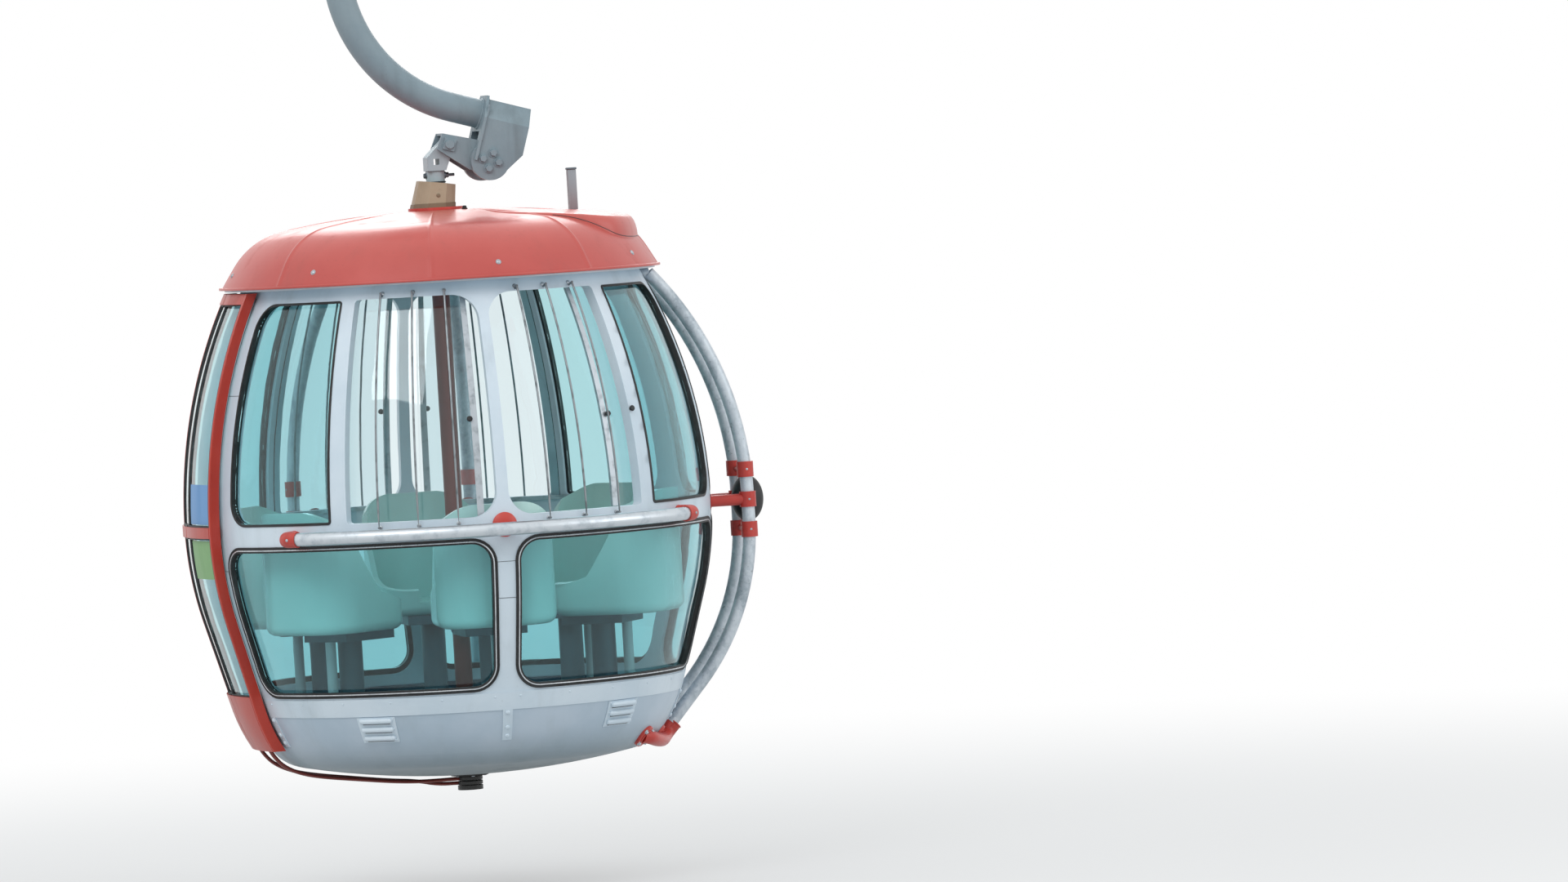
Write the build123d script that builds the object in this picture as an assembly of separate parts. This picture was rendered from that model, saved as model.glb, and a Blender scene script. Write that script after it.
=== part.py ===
"""Six-seat globe-shaped cable car cabin with its hanger and rope grip.

Millimetres and degrees. Z is up, the rope runs along Y, the door faces -X and the buffer +X.
Heights are measured from the lowest point of the hull while the pieces are made. Each piece is
then lowered by ROPE_HEIGHT, so that the origin of the finished model lies on the rope's axis.
An angle on the body is counted about Z from +X, so side A, the near side, is centred on -90.
"""
from build123d import *
from math import asin, atan2, cos, degrees, radians, sin, sqrt, tan
import os

# Rope and heights
ROPE_HEIGHT = 4915.0
ROPE_RADIUS = 20.0

# Body of revolution: widest at the belt, one arc above it, an arc and a straight run below it
BODY_RADIUS = 953.0
BELT_Z = 970.0
UPPER_ARC = 1850.0
LOWER_ARC = 1250.0
LOWER_SLOPE = 16.0
FRAME_TOP_Z = 1836.0
HULL_TOP_Z = 308.0
HULL_ARC = 550.0
HULL_DOME = 3000.0
HULL_CORNER = 150.0
HULL_SPLIT_Z = 260.0
WALL = 40.0
SEAT_GAP = 0.3
SKIN_TOP_TURN = 33.0
SKIN_FOOT_TURN = 10.0

# Side walls: half angle to the corner posts, the posts' places and the window rows
SIDE_HALF = 75.0
POST_ANGLE = 36.9
POST_HALF = 1.9
MULLION_HALF = 1.3
LOWER_MULLION_HALF = 2.1
UPPER_EDGE = 69.5
LOWER_EDGE = 72.6
END_EDGE = 11.5
UPPER_SILL_Z = 983.0
UPPER_HEAD_Z = 1788.0
LOWER_SILL_Z = 346.0
LOWER_HEAD_Z = 907.0
BIG_CORNER = 92.0
SMALL_CORNER = 14.0
WINDOW_MARGIN = 80.0
GLASS = 5.0
GLASS_DEPTH = 13.0
LOWER_SEAL = 20.0
UPPER_SEAL = 9.0
SEAL_PROUD = 3.0
SEAL_DEPTH = 26.0

# Sliding windows, which run in two rails behind the posts
RAIL_DEPTH = 17.0
RAIL_HEIGHT = 16.0
RAIL_WALL = 4.0
PANE_GAP = 1.0
STILE_WIDTH = 26.0
STILE_PROUD = 3.0
PANE_SPAN = 33.5
BAR_RADIUS = 4.0
BAR_STANDOFF = 20.0
BAR_ANGLES = (10.0, 18.6, 27.2)
BAR_END = 18.0

# Roof
ROOF_TOP_Z = 2095.0
ROOF_DOME = 3850.0
ROOF_RIM_RADIUS = 812.0
ROOF_RIM_Z = 1843.0
ROOF_SIDE_SLOPE = 30.0
ROOF_SHOULDER = 280.0
ROOF_WALL = 12.0
LIP_WIDTH = 7.0
LIP_HEIGHT = 9.0
CANTRAIL_INNER = 690.0
COVER_HEIGHT = 8.0
COVER_WIDTH = 150.0
COVER_END = 742.0
ROOF_POST_X = 520.0
ROOF_POST_SIZE = (40.0, 26.0)
ROOF_POST_HEIGHT = 150.0
ROOF_POST_FOOT = 15.0
ROOF_POST_LIP = 1.4
ROOF_POST_CAP = 8.0

# Door leaves, which turn about the cabin's own upright axis outside the wall
LEAF_GAP = 14.0
LEAF_THICKNESS = 40.0
LEAF_ANGLE = 16.5
LEAF_BOTTOM_Z = 145.0
LEAF_TOP_Z = 1830.0
LEAF_STILE = 3.2
LEAF_EDGE_STILE = 1.2
LEAF_RAIL_TOP_Z = 1792.0
LEAF_SPLIT_LOW_Z = 944.0
LEAF_SPLIT_HIGH_Z = 984.0
LEAF_GLASS_LOW_Z = 352.0
LEAF_CORNER = 16.0
LEAF_SEAL = 10.0
LEAF_SEAL_PROUD = 6.0
LEAF_MEETING_GAP = 0.5
DOOR_HALF = 15.0
DOOR_SILL_Z = 330.0
DOOR_HEAD_Z = 1790.0
HUB_RADIUS = 47.0
HUB_SHAFT_RADIUS = 26.0
ARM_WIDTH = 26.0
ARM_THICKNESS = 14.0
ARM_COLLAR_RADIUS = 47.0
ARM_GAP = 3.0
ARM_LEAF_ANGLE = 8.5
RUNNING_GAP = 0.3

# Guard pipes and buffer
PIPE_RADIUS = 24.15
BELT_PIPE_OFFSET = 67.0
BELT_PIPE_Z = 937.0
BELT_PIPE_HALF = 45.0
END_PIPE_SPREAD = 90.0
END_PIPE_REACH = BODY_RADIUS + 145.0
END_PIPE_UPPER_ARC = 1250.0
END_PIPE_LOWER_ARC = 900.0
END_PIPE_TOP_Z = 1814.0
END_PIPE_FOOT_ANGLE = 41.0
END_PIPE_STRAIGHT = 100.0
SLEEVE_RADIUS = 31.0
SLEEVE_LENGTH = 57.0
SPACER_RADIUS = 21.5
SPACER_Z = 950.0
BUFFER_X = END_PIPE_REACH + 19.0
BUFFER_RADIUS = 60.0
BUFFER_HEIGHT = 172.0

# Floor, seats and pole
FLOOR_Z = 200.0
FLOOR_THICKNESS = 25.0
SEAT_PAN_Z = 625.0
SEAT_WIDTH = 460.0
SEAT_DEPTH = 430.0
SEAT_BACK = 400.0
SEAT_SIDE = 95.0
SEAT_WALL = 20.0
SEAT_BACK_RADIUS = 850.0
SEAT_PLAN_RADIUS = 150.0
SEAT_SWING = 58.0
COLUMN_RADIUS = 45.0
COLUMN_PLACE = 560.0
TUBE_RADIUS = 19.0
BRACKET_HEIGHT = 34.0
POLE_RADIUS = 32.5

# Roof mount and suspension, as points in the plane across the rope
MOUNT_WIDTH = 160.0
MOUNT_HEIGHT = 100.0
STUB_RADIUS = 35.0
CLEVIS_WIDTH = 84.0
CLEVIS_X = 6.0
CLEVIS_SHOULDER = 16.0
CLEVIS_RISE = 66.0
CLEVIS_WINDOW = 22.0
PIN_X = 53.0
PIN_Z = ROOF_TOP_Z + 239.0
PIN_RADIUS = 17.0
PIN_CLEARANCE = 0.3
DAMPER_PLACE = (51.0, -165.0)
DAMPER_WIDTH = 190.0
HOUSING_LENGTH = 165.0
HOUSING_TOP = 58.0
HOUSING_BEND = -12.0
HOUSING_BEVEL = 42.0
HOUSING_SHOULDER = -118.0
HOUSING_DROP = 300.0
HOUSING_WALL = 14.0
FOOT_PLATE = 10.0
FOOT_PLATE_DROP = 175.0
FOOT_PLATE_PROUD = 12.0
LEVER_THICKNESS = 14.0
LEVER_SPAN = 132.0
LEVER_GAP = 1.0
LEVER_WEB = 8.0
LEVER_EYE = 50.0
LEVER_NOSE = (-23.0, 42.0)
LEVER_HEEL = (22.0, 66.0)
LEVER_BELLY = (73.0, -98.0)
LEVER_CHIN = (-47.0, -15.0)
KEEPER_SIZE = 44.0
KEEPER_THICKNESS = 10.0

# Hanger
NECK_RADIUS = 54.0
NECK_BEND = 565.0
NECK_X = -320.0
NECK_START = (197.0, PIN_Z + 103.0)
NECK_SLOPE = 16.5
FLANGE_Z = 3185.0
FLANGE_RADIUS = 185.0
FLANGE_THICKNESS = 22.0
GUSSET_HEIGHT = 105.0
GUSSET_THICKNESS = 12.0
GUSSET_EDGE = 22.0
GUSSET_ROOT = 8.0
MAST_SIZE = 104.0
MAST_CORNER = 12.0
MAST_SUNK = 20.0
MAST_TOP_X = -215.0
MAST_TOP_Z = ROPE_HEIGHT - 255.0

# Grip
SWING_PIN_Z = ROPE_HEIGHT - 150.0
SWING_PIN_RADIUS = 28.0
GRIP_LENGTH = 300.0
WHEEL_RADIUS = 75.0
WHEEL_WIDTH = 42.0
WHEEL_SPACING = 330.0

# Plates and fittings on the hull and skin
PLATE = 3.0
SKIRT_HALF = 74.0
SKIRT_TOP_Z = 338.0
SKIRT_BOTTOM_Z = 273.0
STRAP_WIDTH = 44.0
STRAP_BOTTOM_Z = 160.0
LOUVRE_ANGLES = (29.8, 40.6)
LOUVRE_BOTTOM_Z = 176.0
LOUVRE_COUNT = 3
LOUVRE_HOOD = 17.0
LOUVRE_PROUD = 9.0
LOUVRE_EDGE = 0.9
PLUG_Z = 951.0
PAD_RADIUS = 45.0
PAD_DEPTH = 12.0
PAD_EDGE = 4.0
PAD_DOME = 16.0
ELBOW_RADIUS = 38.0
ELBOW_SOCKET = 24.0
ELBOW_TUBE = 29.0
SLEEVE_PITCH = 112.0
TIE_RADIUS = 11.0
BUFFER_PLATE = 5.0
BUFFER_PLATE_HEIGHT = 138.0
BUFFER_RIB = 59.0
FOOT_KNEE = 55.0
FOOT_REACH = 120.0
FOOT_RISE = 22.0
FOOT_BEND = 34.0
FOOT_TUBE = 25.0
FOOT_PAD = 46.0
FOOT_PAD_THICK = 9.0
FOOT_PAD_TURN = 60.0
END_PIPE_FOOT_Z = 140.0
FAR_PIPE_ANGLES = (75.7, 112.9)
CANTRAIL_RISE = 12.0
PORTAL_POST = 1.6
NEAR_OPENING = 4.0
OPEN_WINDOW_ANGLE = 28.6

# Door hub and arms
HUB_FLANGE_RADIUS = 70.0
HUB_FLANGE = 8.0
HUB_NUT = 16.0
ARM_BEND_RADIUS = 560.0
ARM_RISE_RADIUS = 700.0
ARM_RISE_Z = 45.0
ARM_END_RADIUS = 775.0
ARM_END_Z = 160.0
ARM_BEND = 90.0

# Seat details
SEAT_FRONT_WIDTH = 400.0
SEAT_FRONT_RADIUS = 110.0
SEAT_DISH = 50.0
SEAT_FRONT_LIP = 30.0
SEAT_CROWN_SHARE = 0.2
SEAT_SHOULDER_SHARE = 0.33
SEAT_KNEE_SHARE = 0.62
SEAT_BULGE = 40.0
SEAT_MARGIN = 50.0
BRACKET_SHARE = (0.55, 0.5)
COLUMN_FOOT = 14.0
TUBE_OFFSET = 95.0

# Mount and hanger details
MOUNT_RING_RADIUS = MOUNT_WIDTH / 2 + 22.0
MOUNT_RING_SUNK = 15.0
MOUNT_RING_HEIGHT = 24.0
MOUNT_SUNK = 10.0
COVER_START = MOUNT_RING_RADIUS + SEAT_GAP
MOUNT_LEAN = -14.0
MOUNT_TILT = 8.0
STUB_HEIGHT = 44.0
STUB_FOOT = 14.0
EYE_RADIUS = 24.0
DAMPER_RADIUS = 72.0
HEAD_WIDTH = 110.0
HEAD_RADIUS = 58.0
HEAD_DROP = 70.0
HEAD_PROUD = 8.0

# Grip details
JAW_GAP = 6.0
JAW_SHARE = 0.8
FORK_CHEEK = 24.0
FORK_GAP = 2.0
FORK_WIDTH = 120.0
FORK_LEFT = MAST_TOP_X - HEAD_WIDTH / 2 - FORK_GAP - FORK_CHEEK
FORK_RIGHT = MAST_TOP_X + HEAD_WIDTH / 2 + FORK_GAP + FORK_CHEEK
WHEEL_X = FORK_LEFT - 60.0
WHEEL_Z = ROPE_HEIGHT + 20.0
WHEEL_GAP = 2.0
WHEEL_RIM = 16.0
WHEEL_RECESS = 10.0
WHEEL_BOSS = 14.0
BEAM_OVERHANG = 35.0
BEAM_HEIGHT = 46.0
AXLE_PROUD = 8.0
AXLE_SUNK = 5.0
AXLE_HEAD = 6.0
AXLE_RADIUS = 18.0
CASTING_TOP = 62.0
SPRING_RADIUS = 44.0
SPRING_Z = ROPE_HEIGHT + CASTING_TOP + SPRING_RADIUS + SEAT_GAP
JAW_TONGUE = (30.0, 50.0, 22.0)
JAW_TOP = 46.0
JAW_LIP = 34.0
JAW_TOE = 26.0
JAW_WIDTH = 46.0
JAW_HEEL = 6.0
JAW_SEAT = 70.0
CASTING_NOSE = 60.0
CASTING_DEPTH = 52.0
CASTING_CORNER = 8.0
PIN_PROUD = 14.0
SPRING_PROUD = 10.0
SPRING_END = 20.0
PLATE_Z = ROPE_HEIGHT + 158.0
PLATE_SIZE = (150.0, 470.0, 12.0)
PLATE_CORNER = 30.0
STAND_SIZE = (60.0, 40.0)

NEAR_SIDE = -90.0
FAR = 2000.0
MIRROR_SIDE = Plane.XZ


def skin_radius(z, offset=0.0):
    """Radius of the body at a height, for a surface that stands off the skin by offset."""
    if z >= BELT_Z:
        return BODY_RADIUS - UPPER_ARC + sqrt((UPPER_ARC + offset) ** 2 - (z - BELT_Z) ** 2)
    arc = LOWER_ARC + offset
    tangent_z = BELT_Z - arc * sin(radians(LOWER_SLOPE))
    if z >= tangent_z:
        return BODY_RADIUS - LOWER_ARC + sqrt(arc ** 2 - (z - BELT_Z) ** 2)
    tangent_r = BODY_RADIUS - LOWER_ARC + arc * cos(radians(LOWER_SLOPE))
    return tangent_r - (tangent_z - z) * tan(radians(LOWER_SLOPE))


def upright(sketch):
    """Stand a section drawn as radius and height in the plane y = 0."""
    return Plane.XZ * sketch


def slab(z_low, z_high):
    """Rectangle that keeps a section between two heights."""
    return Pos(FAR / 2, (z_low + z_high) / 2) * Rectangle(FAR, z_high - z_low)


def hull_centre():
    """Centre of the arc by which the hull's side leaves the wall's straight run."""
    slope = radians(LOWER_SLOPE)
    return skin_radius(HULL_TOP_Z) - HULL_ARC * cos(slope), HULL_TOP_Z + HULL_ARC * sin(slope)


def on_circle(centre, radius, angle):
    """Point of a circle at an angle."""
    return centre[0] + radius * cos(radians(angle)), centre[1] + radius * sin(radians(angle))


def skin_band(outer, inner):
    """Section of a shell between two offsets from the skin, from the hull's side to above the frames."""
    hull = hull_centre()
    edges = []
    ends = []
    for offset in (outer, inner):
        low_centre = (BODY_RADIUS - LOWER_ARC, BELT_Z)
        high_centre = (BODY_RADIUS - UPPER_ARC, BELT_Z)
        joint = on_circle(low_centre, LOWER_ARC + offset, -LOWER_SLOPE)
        rim = on_circle(hull, HULL_ARC + offset, -LOWER_SLOPE)
        foot = on_circle(hull, HULL_ARC + offset, -LOWER_SLOPE - SKIN_FOOT_TURN)
        head = on_circle(high_centre, UPPER_ARC + offset, SKIN_TOP_TURN)
        edges += [
            CenterArc(hull, HULL_ARC + offset, -LOWER_SLOPE - SKIN_FOOT_TURN, SKIN_FOOT_TURN),
            Line(rim, joint),
            CenterArc(low_centre, LOWER_ARC + offset, -LOWER_SLOPE, LOWER_SLOPE),
            CenterArc(high_centre, UPPER_ARC + offset, 0, SKIN_TOP_TURN),
        ]
        ends.append((foot, head))
    edges += [Line(ends[0][0], ends[1][0]), Line(ends[0][1], ends[1][1])]
    return make_face(edges)


def turned(section, start, end):
    """Revolve an upright section about the cabin's axis from one angle to another."""
    return Rot(0, 0, start) * revolve(upright(section), Axis.Z, end - start)


def shell(outer, inner, z_low, z_high, start, end):
    """Piece of the wall between two offsets, two heights and two angles."""
    return turned(skin_band(outer, inner) & slab(z_low, z_high), start, end)


def window_block(start, end, z_low, z_high, start_corner, end_corner, inset=0.0):
    """Wedge that cuts a window, with its straight radial edges rounded."""
    lean = degrees(inset / BODY_RADIUS)
    inner = min(skin_radius(z_low), skin_radius(z_high)) - WALL - WINDOW_MARGIN
    outer = BODY_RADIUS + WINDOW_MARGIN
    height = z_high - z_low - 2 * inset
    section = Pos((inner + outer) / 2, (z_low + z_high) / 2) * Rectangle(outer - inner, height)
    block = turned(section, start + lean, end - lean)
    middle = (start + end) / 2
    for corner, near_start in ((start_corner, True), (end_corner, False)):
        radial = [
            edge for edge in block.edges().filter_by(GeomType.LINE)
            if abs(edge.tangent_at(0.5).Z) < 0.1
            and (angle_of(edge.center(), middle) < middle) == near_start
        ]
        block = fillet(radial, max(corner - inset, 2.0))
    return block


def angle_of(point, near):
    """Angle of a point about the axis, within half a turn of a given angle."""
    angle = degrees(atan2(point.Y, point.X))
    while angle < near - 180:
        angle += 360
    while angle > near + 180:
        angle -= 360
    return angle


def rod(path, radius):
    """Round bar along a path of lines and arcs."""
    wire = Wire(path.edges())
    return sweep(Plane(wire @ 0, z_dir=wire % 0) * Circle(radius), path=wire)


def bar_between(first, second, radius):
    """Round bar from one point to another."""
    start = Vector(*first)
    run = Vector(*second) - start
    return Plane(start, z_dir=run.normalized()) * Cylinder(
        radius, run.length, align=(Align.CENTER, Align.CENTER, Align.MIN))


def around(angle, radius, z):
    """Point at an angle about the axis."""
    return (radius * cos(radians(angle)), radius * sin(radians(angle)), z)


def both_sides(shape):
    """The piece of side B, mirrored from side A."""
    return mirror(shape, about=MIRROR_SIDE)


def mirrored(pieces):
    """The pieces of side B, mirrored from a list of side A."""
    return [both_sides(piece) for piece in pieces]


# Windows of side A: name, angle from the side's middle to each edge, sill, head and corner radii
SIDE_WINDOWS = [
    ("fixed", -UPPER_EDGE, -POST_ANGLE - POST_HALF, UPPER_SILL_Z, UPPER_HEAD_Z, BIG_CORNER, SMALL_CORNER),
    ("sliding", -POST_ANGLE + POST_HALF, -MULLION_HALF, UPPER_SILL_Z, UPPER_HEAD_Z, SMALL_CORNER, BIG_CORNER),
    ("sliding", MULLION_HALF, POST_ANGLE - POST_HALF, UPPER_SILL_Z, UPPER_HEAD_Z, BIG_CORNER, SMALL_CORNER),
    ("fixed", POST_ANGLE + POST_HALF, UPPER_EDGE, UPPER_SILL_Z, UPPER_HEAD_Z, SMALL_CORNER, BIG_CORNER),
    ("lower", -LOWER_EDGE, -LOWER_MULLION_HALF, LOWER_SILL_Z, LOWER_HEAD_Z, BIG_CORNER, BIG_CORNER),
    ("lower", LOWER_MULLION_HALF, LOWER_EDGE, LOWER_SILL_Z, LOWER_HEAD_Z, BIG_CORNER, BIG_CORNER),
]
END_WINDOWS = [
    ("fixed", -END_EDGE, END_EDGE, UPPER_SILL_Z, UPPER_HEAD_Z, BIG_CORNER, BIG_CORNER),
    ("lower", -END_EDGE, END_EDGE, LOWER_SILL_Z, LOWER_HEAD_Z, BIG_CORNER, BIG_CORNER),
]
SEAL_WIDTHS = {"fixed": UPPER_SEAL, "lower": LOWER_SEAL}


def wall_with_windows(windows, middle, half):
    """Wall panel with its window openings, its glass panes and their rubber seals."""
    wall = shell(0, -WALL, HULL_TOP_Z, FRAME_TOP_Z, middle - half, middle + half)
    panes = []
    seals = []
    for kind, left, right, sill, head, left_corner, right_corner in windows:
        shape = (middle + left, middle + right, sill, head, left_corner, right_corner)
        opening = window_block(*shape)
        wall -= opening
        if kind == "sliding":
            continue
        sight = window_block(*shape, inset=SEAL_WIDTHS[kind])
        strip = shell(
            SEAL_PROUD, -SEAL_DEPTH, sill - WINDOW_MARGIN, head + WINDOW_MARGIN,
            shape[0] - 1, shape[1] + 1)
        seals.append((strip & opening) - sight)
        glass = shell(
            -GLASS_DEPTH, -GLASS_DEPTH - GLASS, sill - WINDOW_MARGIN, head + WINDOW_MARGIN,
            shape[0] - 1, shape[1] + 1)
        panes.append(glass & sight)
    return wall, panes, seals


def sliding_window(free_edge, toward):
    """Pane with its end stile. free_edge is the stile's angle, toward is the way the pane runs."""
    depth = WALL + RAIL_DEPTH / 2
    low = UPPER_SILL_Z - RAIL_HEIGHT + RAIL_WALL + PANE_GAP
    high = UPPER_HEAD_Z + RAIL_HEIGHT - RAIL_WALL - PANE_GAP
    far_edge = free_edge + toward * PANE_SPAN
    stile_turn = toward * degrees(STILE_WIDTH / BODY_RADIUS)
    glass_start = free_edge + stile_turn
    start, end = sorted((glass_start, far_edge))
    glass = shell(-depth + GLASS / 2, -depth - GLASS / 2, low, high, start, end)
    start, end = sorted((free_edge, glass_start))
    proud = GLASS / 2 + STILE_PROUD
    stile = shell(-depth + proud, -depth - proud, UPPER_SILL_Z + 2, UPPER_HEAD_Z - 2, start, end)
    return glass, stile


def window_rails():
    """Curved rails above and below the sliding panes, grooved for the glass."""
    rails = []
    groove_half = GLASS / 2 + PANE_GAP
    depth = WALL + RAIL_DEPTH / 2
    span = (NEAR_SIDE - UPPER_EDGE, NEAR_SIDE + UPPER_EDGE)
    for z_low, z_high, mouth_low, mouth_high in (
        (UPPER_SILL_Z - RAIL_HEIGHT, UPPER_SILL_Z, UPPER_SILL_Z - RAIL_HEIGHT + RAIL_WALL, UPPER_SILL_Z),
        (UPPER_HEAD_Z, UPPER_HEAD_Z + RAIL_HEIGHT, UPPER_HEAD_Z, UPPER_HEAD_Z + RAIL_HEIGHT - RAIL_WALL),
    ):
        section = skin_band(-WALL - SEAT_GAP, -WALL - RAIL_DEPTH) & slab(z_low, z_high)
        groove = skin_band(-depth + groove_half, -depth - groove_half) & slab(mouth_low, mouth_high)
        rails.append(turned(section - groove, *span))
    return rails


def window_bar(angle):
    """Thin upright guard bar outside a sliding window, its ends turned in to the frame."""
    arc = UPPER_ARC + BAR_STANDOFF
    centre = (BODY_RADIUS - UPPER_ARC, BELT_Z)
    low_z = UPPER_SILL_Z - BAR_END
    high_z = UPPER_HEAD_Z + BAR_END
    low = degrees(asin((low_z - BELT_Z) / arc))
    high = degrees(asin((high_z - BELT_Z) / arc))
    bar = rod(upright(CenterArc(centre, arc, low, high - low)), BAR_RADIUS)
    for at in (low, high):
        inner = UPPER_ARC
        start = (centre[0] + inner * cos(radians(at)), 0, BELT_Z + inner * sin(radians(at)))
        reach = arc + BAR_RADIUS
        end = (centre[0] + reach * cos(radians(at)), 0, BELT_Z + reach * sin(radians(at)))
        bar += bar_between(start, end, BAR_RADIUS)
    return Rot(0, 0, angle) * bar


def hull_region(inset):
    """Half section of the hull, from the axis out to the skin, drawn in by inset."""
    centre_r, centre_z = hull_centre()
    middle_z = HULL_TOP_Z - HULL_ARC / 2
    core = Pos(centre_r / 2, middle_z) * Rectangle(centre_r, HULL_ARC)
    outside = Pos(centre_r + HULL_ARC / 2, middle_z) * Rectangle(HULL_ARC, HULL_ARC)
    side = Pos(centre_r, centre_z) * Circle(HULL_ARC - inset) & outside
    dome = Pos(0, HULL_DOME) * Circle(HULL_DOME - inset)
    region = (core + side) & dome
    corner = [v for v in region.vertices() if v.X > centre_r + 1 and v.Y < HULL_TOP_Z - 1]
    return fillet(corner, HULL_CORNER - inset)


def hull_plate(thickness, z_low, z_high, start, end):
    """Plate that lies on the hull's skin."""
    section = (hull_region(-thickness) - hull_region(-SEAT_GAP)) & slab(z_low, z_high)
    return turned(section, start, end)


def side_section(outer, inner, z_low, z_high):
    """Section between two offsets from the skin that reaches down over the hull's side."""
    below = (hull_region(-outer) - hull_region(-inner)) & slab(z_low, HULL_SPLIT_Z)
    return below + (skin_band(outer, inner) & slab(HULL_SPLIT_Z, z_high))


def roof_outline(rise):
    """Half section of the roof's outer form, raised by rise along the axis and outward."""
    slope = radians(ROOF_SIDE_SLOPE)
    dome = Pos(0, ROOF_TOP_Z - ROOF_DOME) * Circle(ROOF_DOME + rise)
    reach = 400.0
    rim = (ROOF_RIM_RADIUS + rise / cos(slope), ROOF_RIM_Z)
    side = Polyline(
        (0, ROOF_RIM_Z), rim, (rim[0] - reach * tan(slope), ROOF_RIM_Z + reach),
        (0, ROOF_RIM_Z + reach), close=True)
    region = make_face(side) & dome
    corner = [v for v in region.vertices() if v.X > 100 and v.Y > ROOF_RIM_Z + 50]
    return fillet(corner, ROOF_SHOULDER + rise)


def make_roof():
    """Moulded roof with a small turned-out lip."""
    lip = Pos(ROOF_RIM_RADIUS + LIP_WIDTH / 2 - ROOF_WALL / 2, ROOF_RIM_Z + LIP_HEIGHT / 2) * Rectangle(
        LIP_WIDTH + ROOF_WALL, LIP_HEIGHT)
    section = roof_outline(0) - roof_outline(-ROOF_WALL) + lip
    return revolve(upright(section), Axis.Z, 360)


def make_cover():
    """Raised cover over the door's operating rod, running from the roof mount to side C."""
    skin = revolve(upright(roof_outline(COVER_HEIGHT) - roof_outline(SEAT_GAP)), Axis.Z, 360)
    length = COVER_END - COVER_START
    trim = Pos(COVER_START + length / 2, 0, ROOF_TOP_Z) * Box(length, COVER_WIDTH, FAR / 2)
    return skin & trim


def make_roof_post():
    """Flat upright post on the cover, with a lipped top."""
    wide, deep = ROOF_POST_SIZE
    base = ROOF_TOP_Z + COVER_HEIGHT - ROOF_POST_X ** 2 / (2 * ROOF_DOME)
    post = Pos(ROOF_POST_X, 0, base - ROOF_POST_FOOT) * Box(
        wide, deep, ROOF_POST_HEIGHT + ROOF_POST_FOOT, align=(Align.CENTER, Align.CENTER, Align.MIN))
    lip = Pos(ROOF_POST_X, 0, base + ROOF_POST_HEIGHT) * Box(
        wide * ROOF_POST_LIP, deep * ROOF_POST_LIP, ROOF_POST_CAP)
    skin = revolve(upright(roof_outline(COVER_HEIGHT + SEAT_GAP)), Axis.Z, 360)
    return (post + lip) - skin


def make_cantrail():
    """Ring on the frames' heads that carries the roof."""
    outer = ROOF_RIM_RADIUS - ROOF_WALL / cos(radians(ROOF_SIDE_SLOPE))
    height = ROOF_RIM_Z - FRAME_TOP_Z + CANTRAIL_RISE
    middle = Pos((CANTRAIL_INNER + outer) / 2, FRAME_TOP_Z + height / 2)
    section = middle * Rectangle(outer - CANTRAIL_INNER, height)
    above = section & roof_outline(-ROOF_WALL - SEAT_GAP)
    below = section & slab(0, ROOF_RIM_Z)
    return revolve(upright(above + below), Axis.Z, 360)


def make_hull():
    """Hull pan with a dished bottom."""
    section = hull_region(0) - hull_region(WALL)
    return revolve(upright(section), Axis.Z, 360)


def make_floor():
    """Floor plate, as wide as the hull is inside."""
    section = hull_region(WALL) & slab(FLOOR_Z - FLOOR_THICKNESS, FLOOR_Z)
    return revolve(upright(section), Axis.Z, 360)


def make_skirt():
    """Riveted band over the joint of side A and the hull, with the strap under the mullion."""
    start = NEAR_SIDE - SKIRT_HALF
    end = NEAR_SIDE + SKIRT_HALF
    strap_turn = degrees(STRAP_WIDTH / 2 / BODY_RADIUS)
    pieces = shell(PLATE, SEAT_GAP, SKIRT_BOTTOM_Z, SKIRT_TOP_Z, start, end)
    for middle, half in (
        (NEAR_SIDE, strap_turn),
        (start + strap_turn, strap_turn),
        (end - strap_turn, strap_turn),
    ):
        pieces += hull_plate(PLATE, STRAP_BOTTOM_Z, SKIRT_BOTTOM_Z, middle - half, middle + half)
    return pieces


def make_louvres():
    """Two vent plates on the hull of side A, each with three pressed hoods."""
    plates = []
    for side in (-1, 1):
        start, end = sorted(NEAR_SIDE + side * angle for angle in LOUVRE_ANGLES)
        plate = hull_plate(PLATE, LOUVRE_BOTTOM_Z, SKIRT_BOTTOM_Z - PLATE, start, end)
        pitch = (SKIRT_BOTTOM_Z - LOUVRE_BOTTOM_Z) / LOUVRE_COUNT
        for row in range(LOUVRE_COUNT):
            z = LOUVRE_BOTTOM_Z + pitch * (row + 0.5)
            plate += hull_plate(
                LOUVRE_PROUD, z - LOUVRE_HOOD / 2, z + LOUVRE_HOOD / 2,
                start + LOUVRE_EDGE, end - LOUVRE_EDGE)
        plates.append(plate)
    return plates


def door_windows(start, end):
    """The two sight openings of a leaf between its stiles."""
    sights = []
    for low, high in (
        (LEAF_SPLIT_HIGH_Z, LEAF_RAIL_TOP_Z),
        (LEAF_GLASS_LOW_Z, LEAF_SPLIT_LOW_Z),
    ):
        sights.append((start, end, low, high, LEAF_CORNER, LEAF_CORNER))
    return sights


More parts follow.
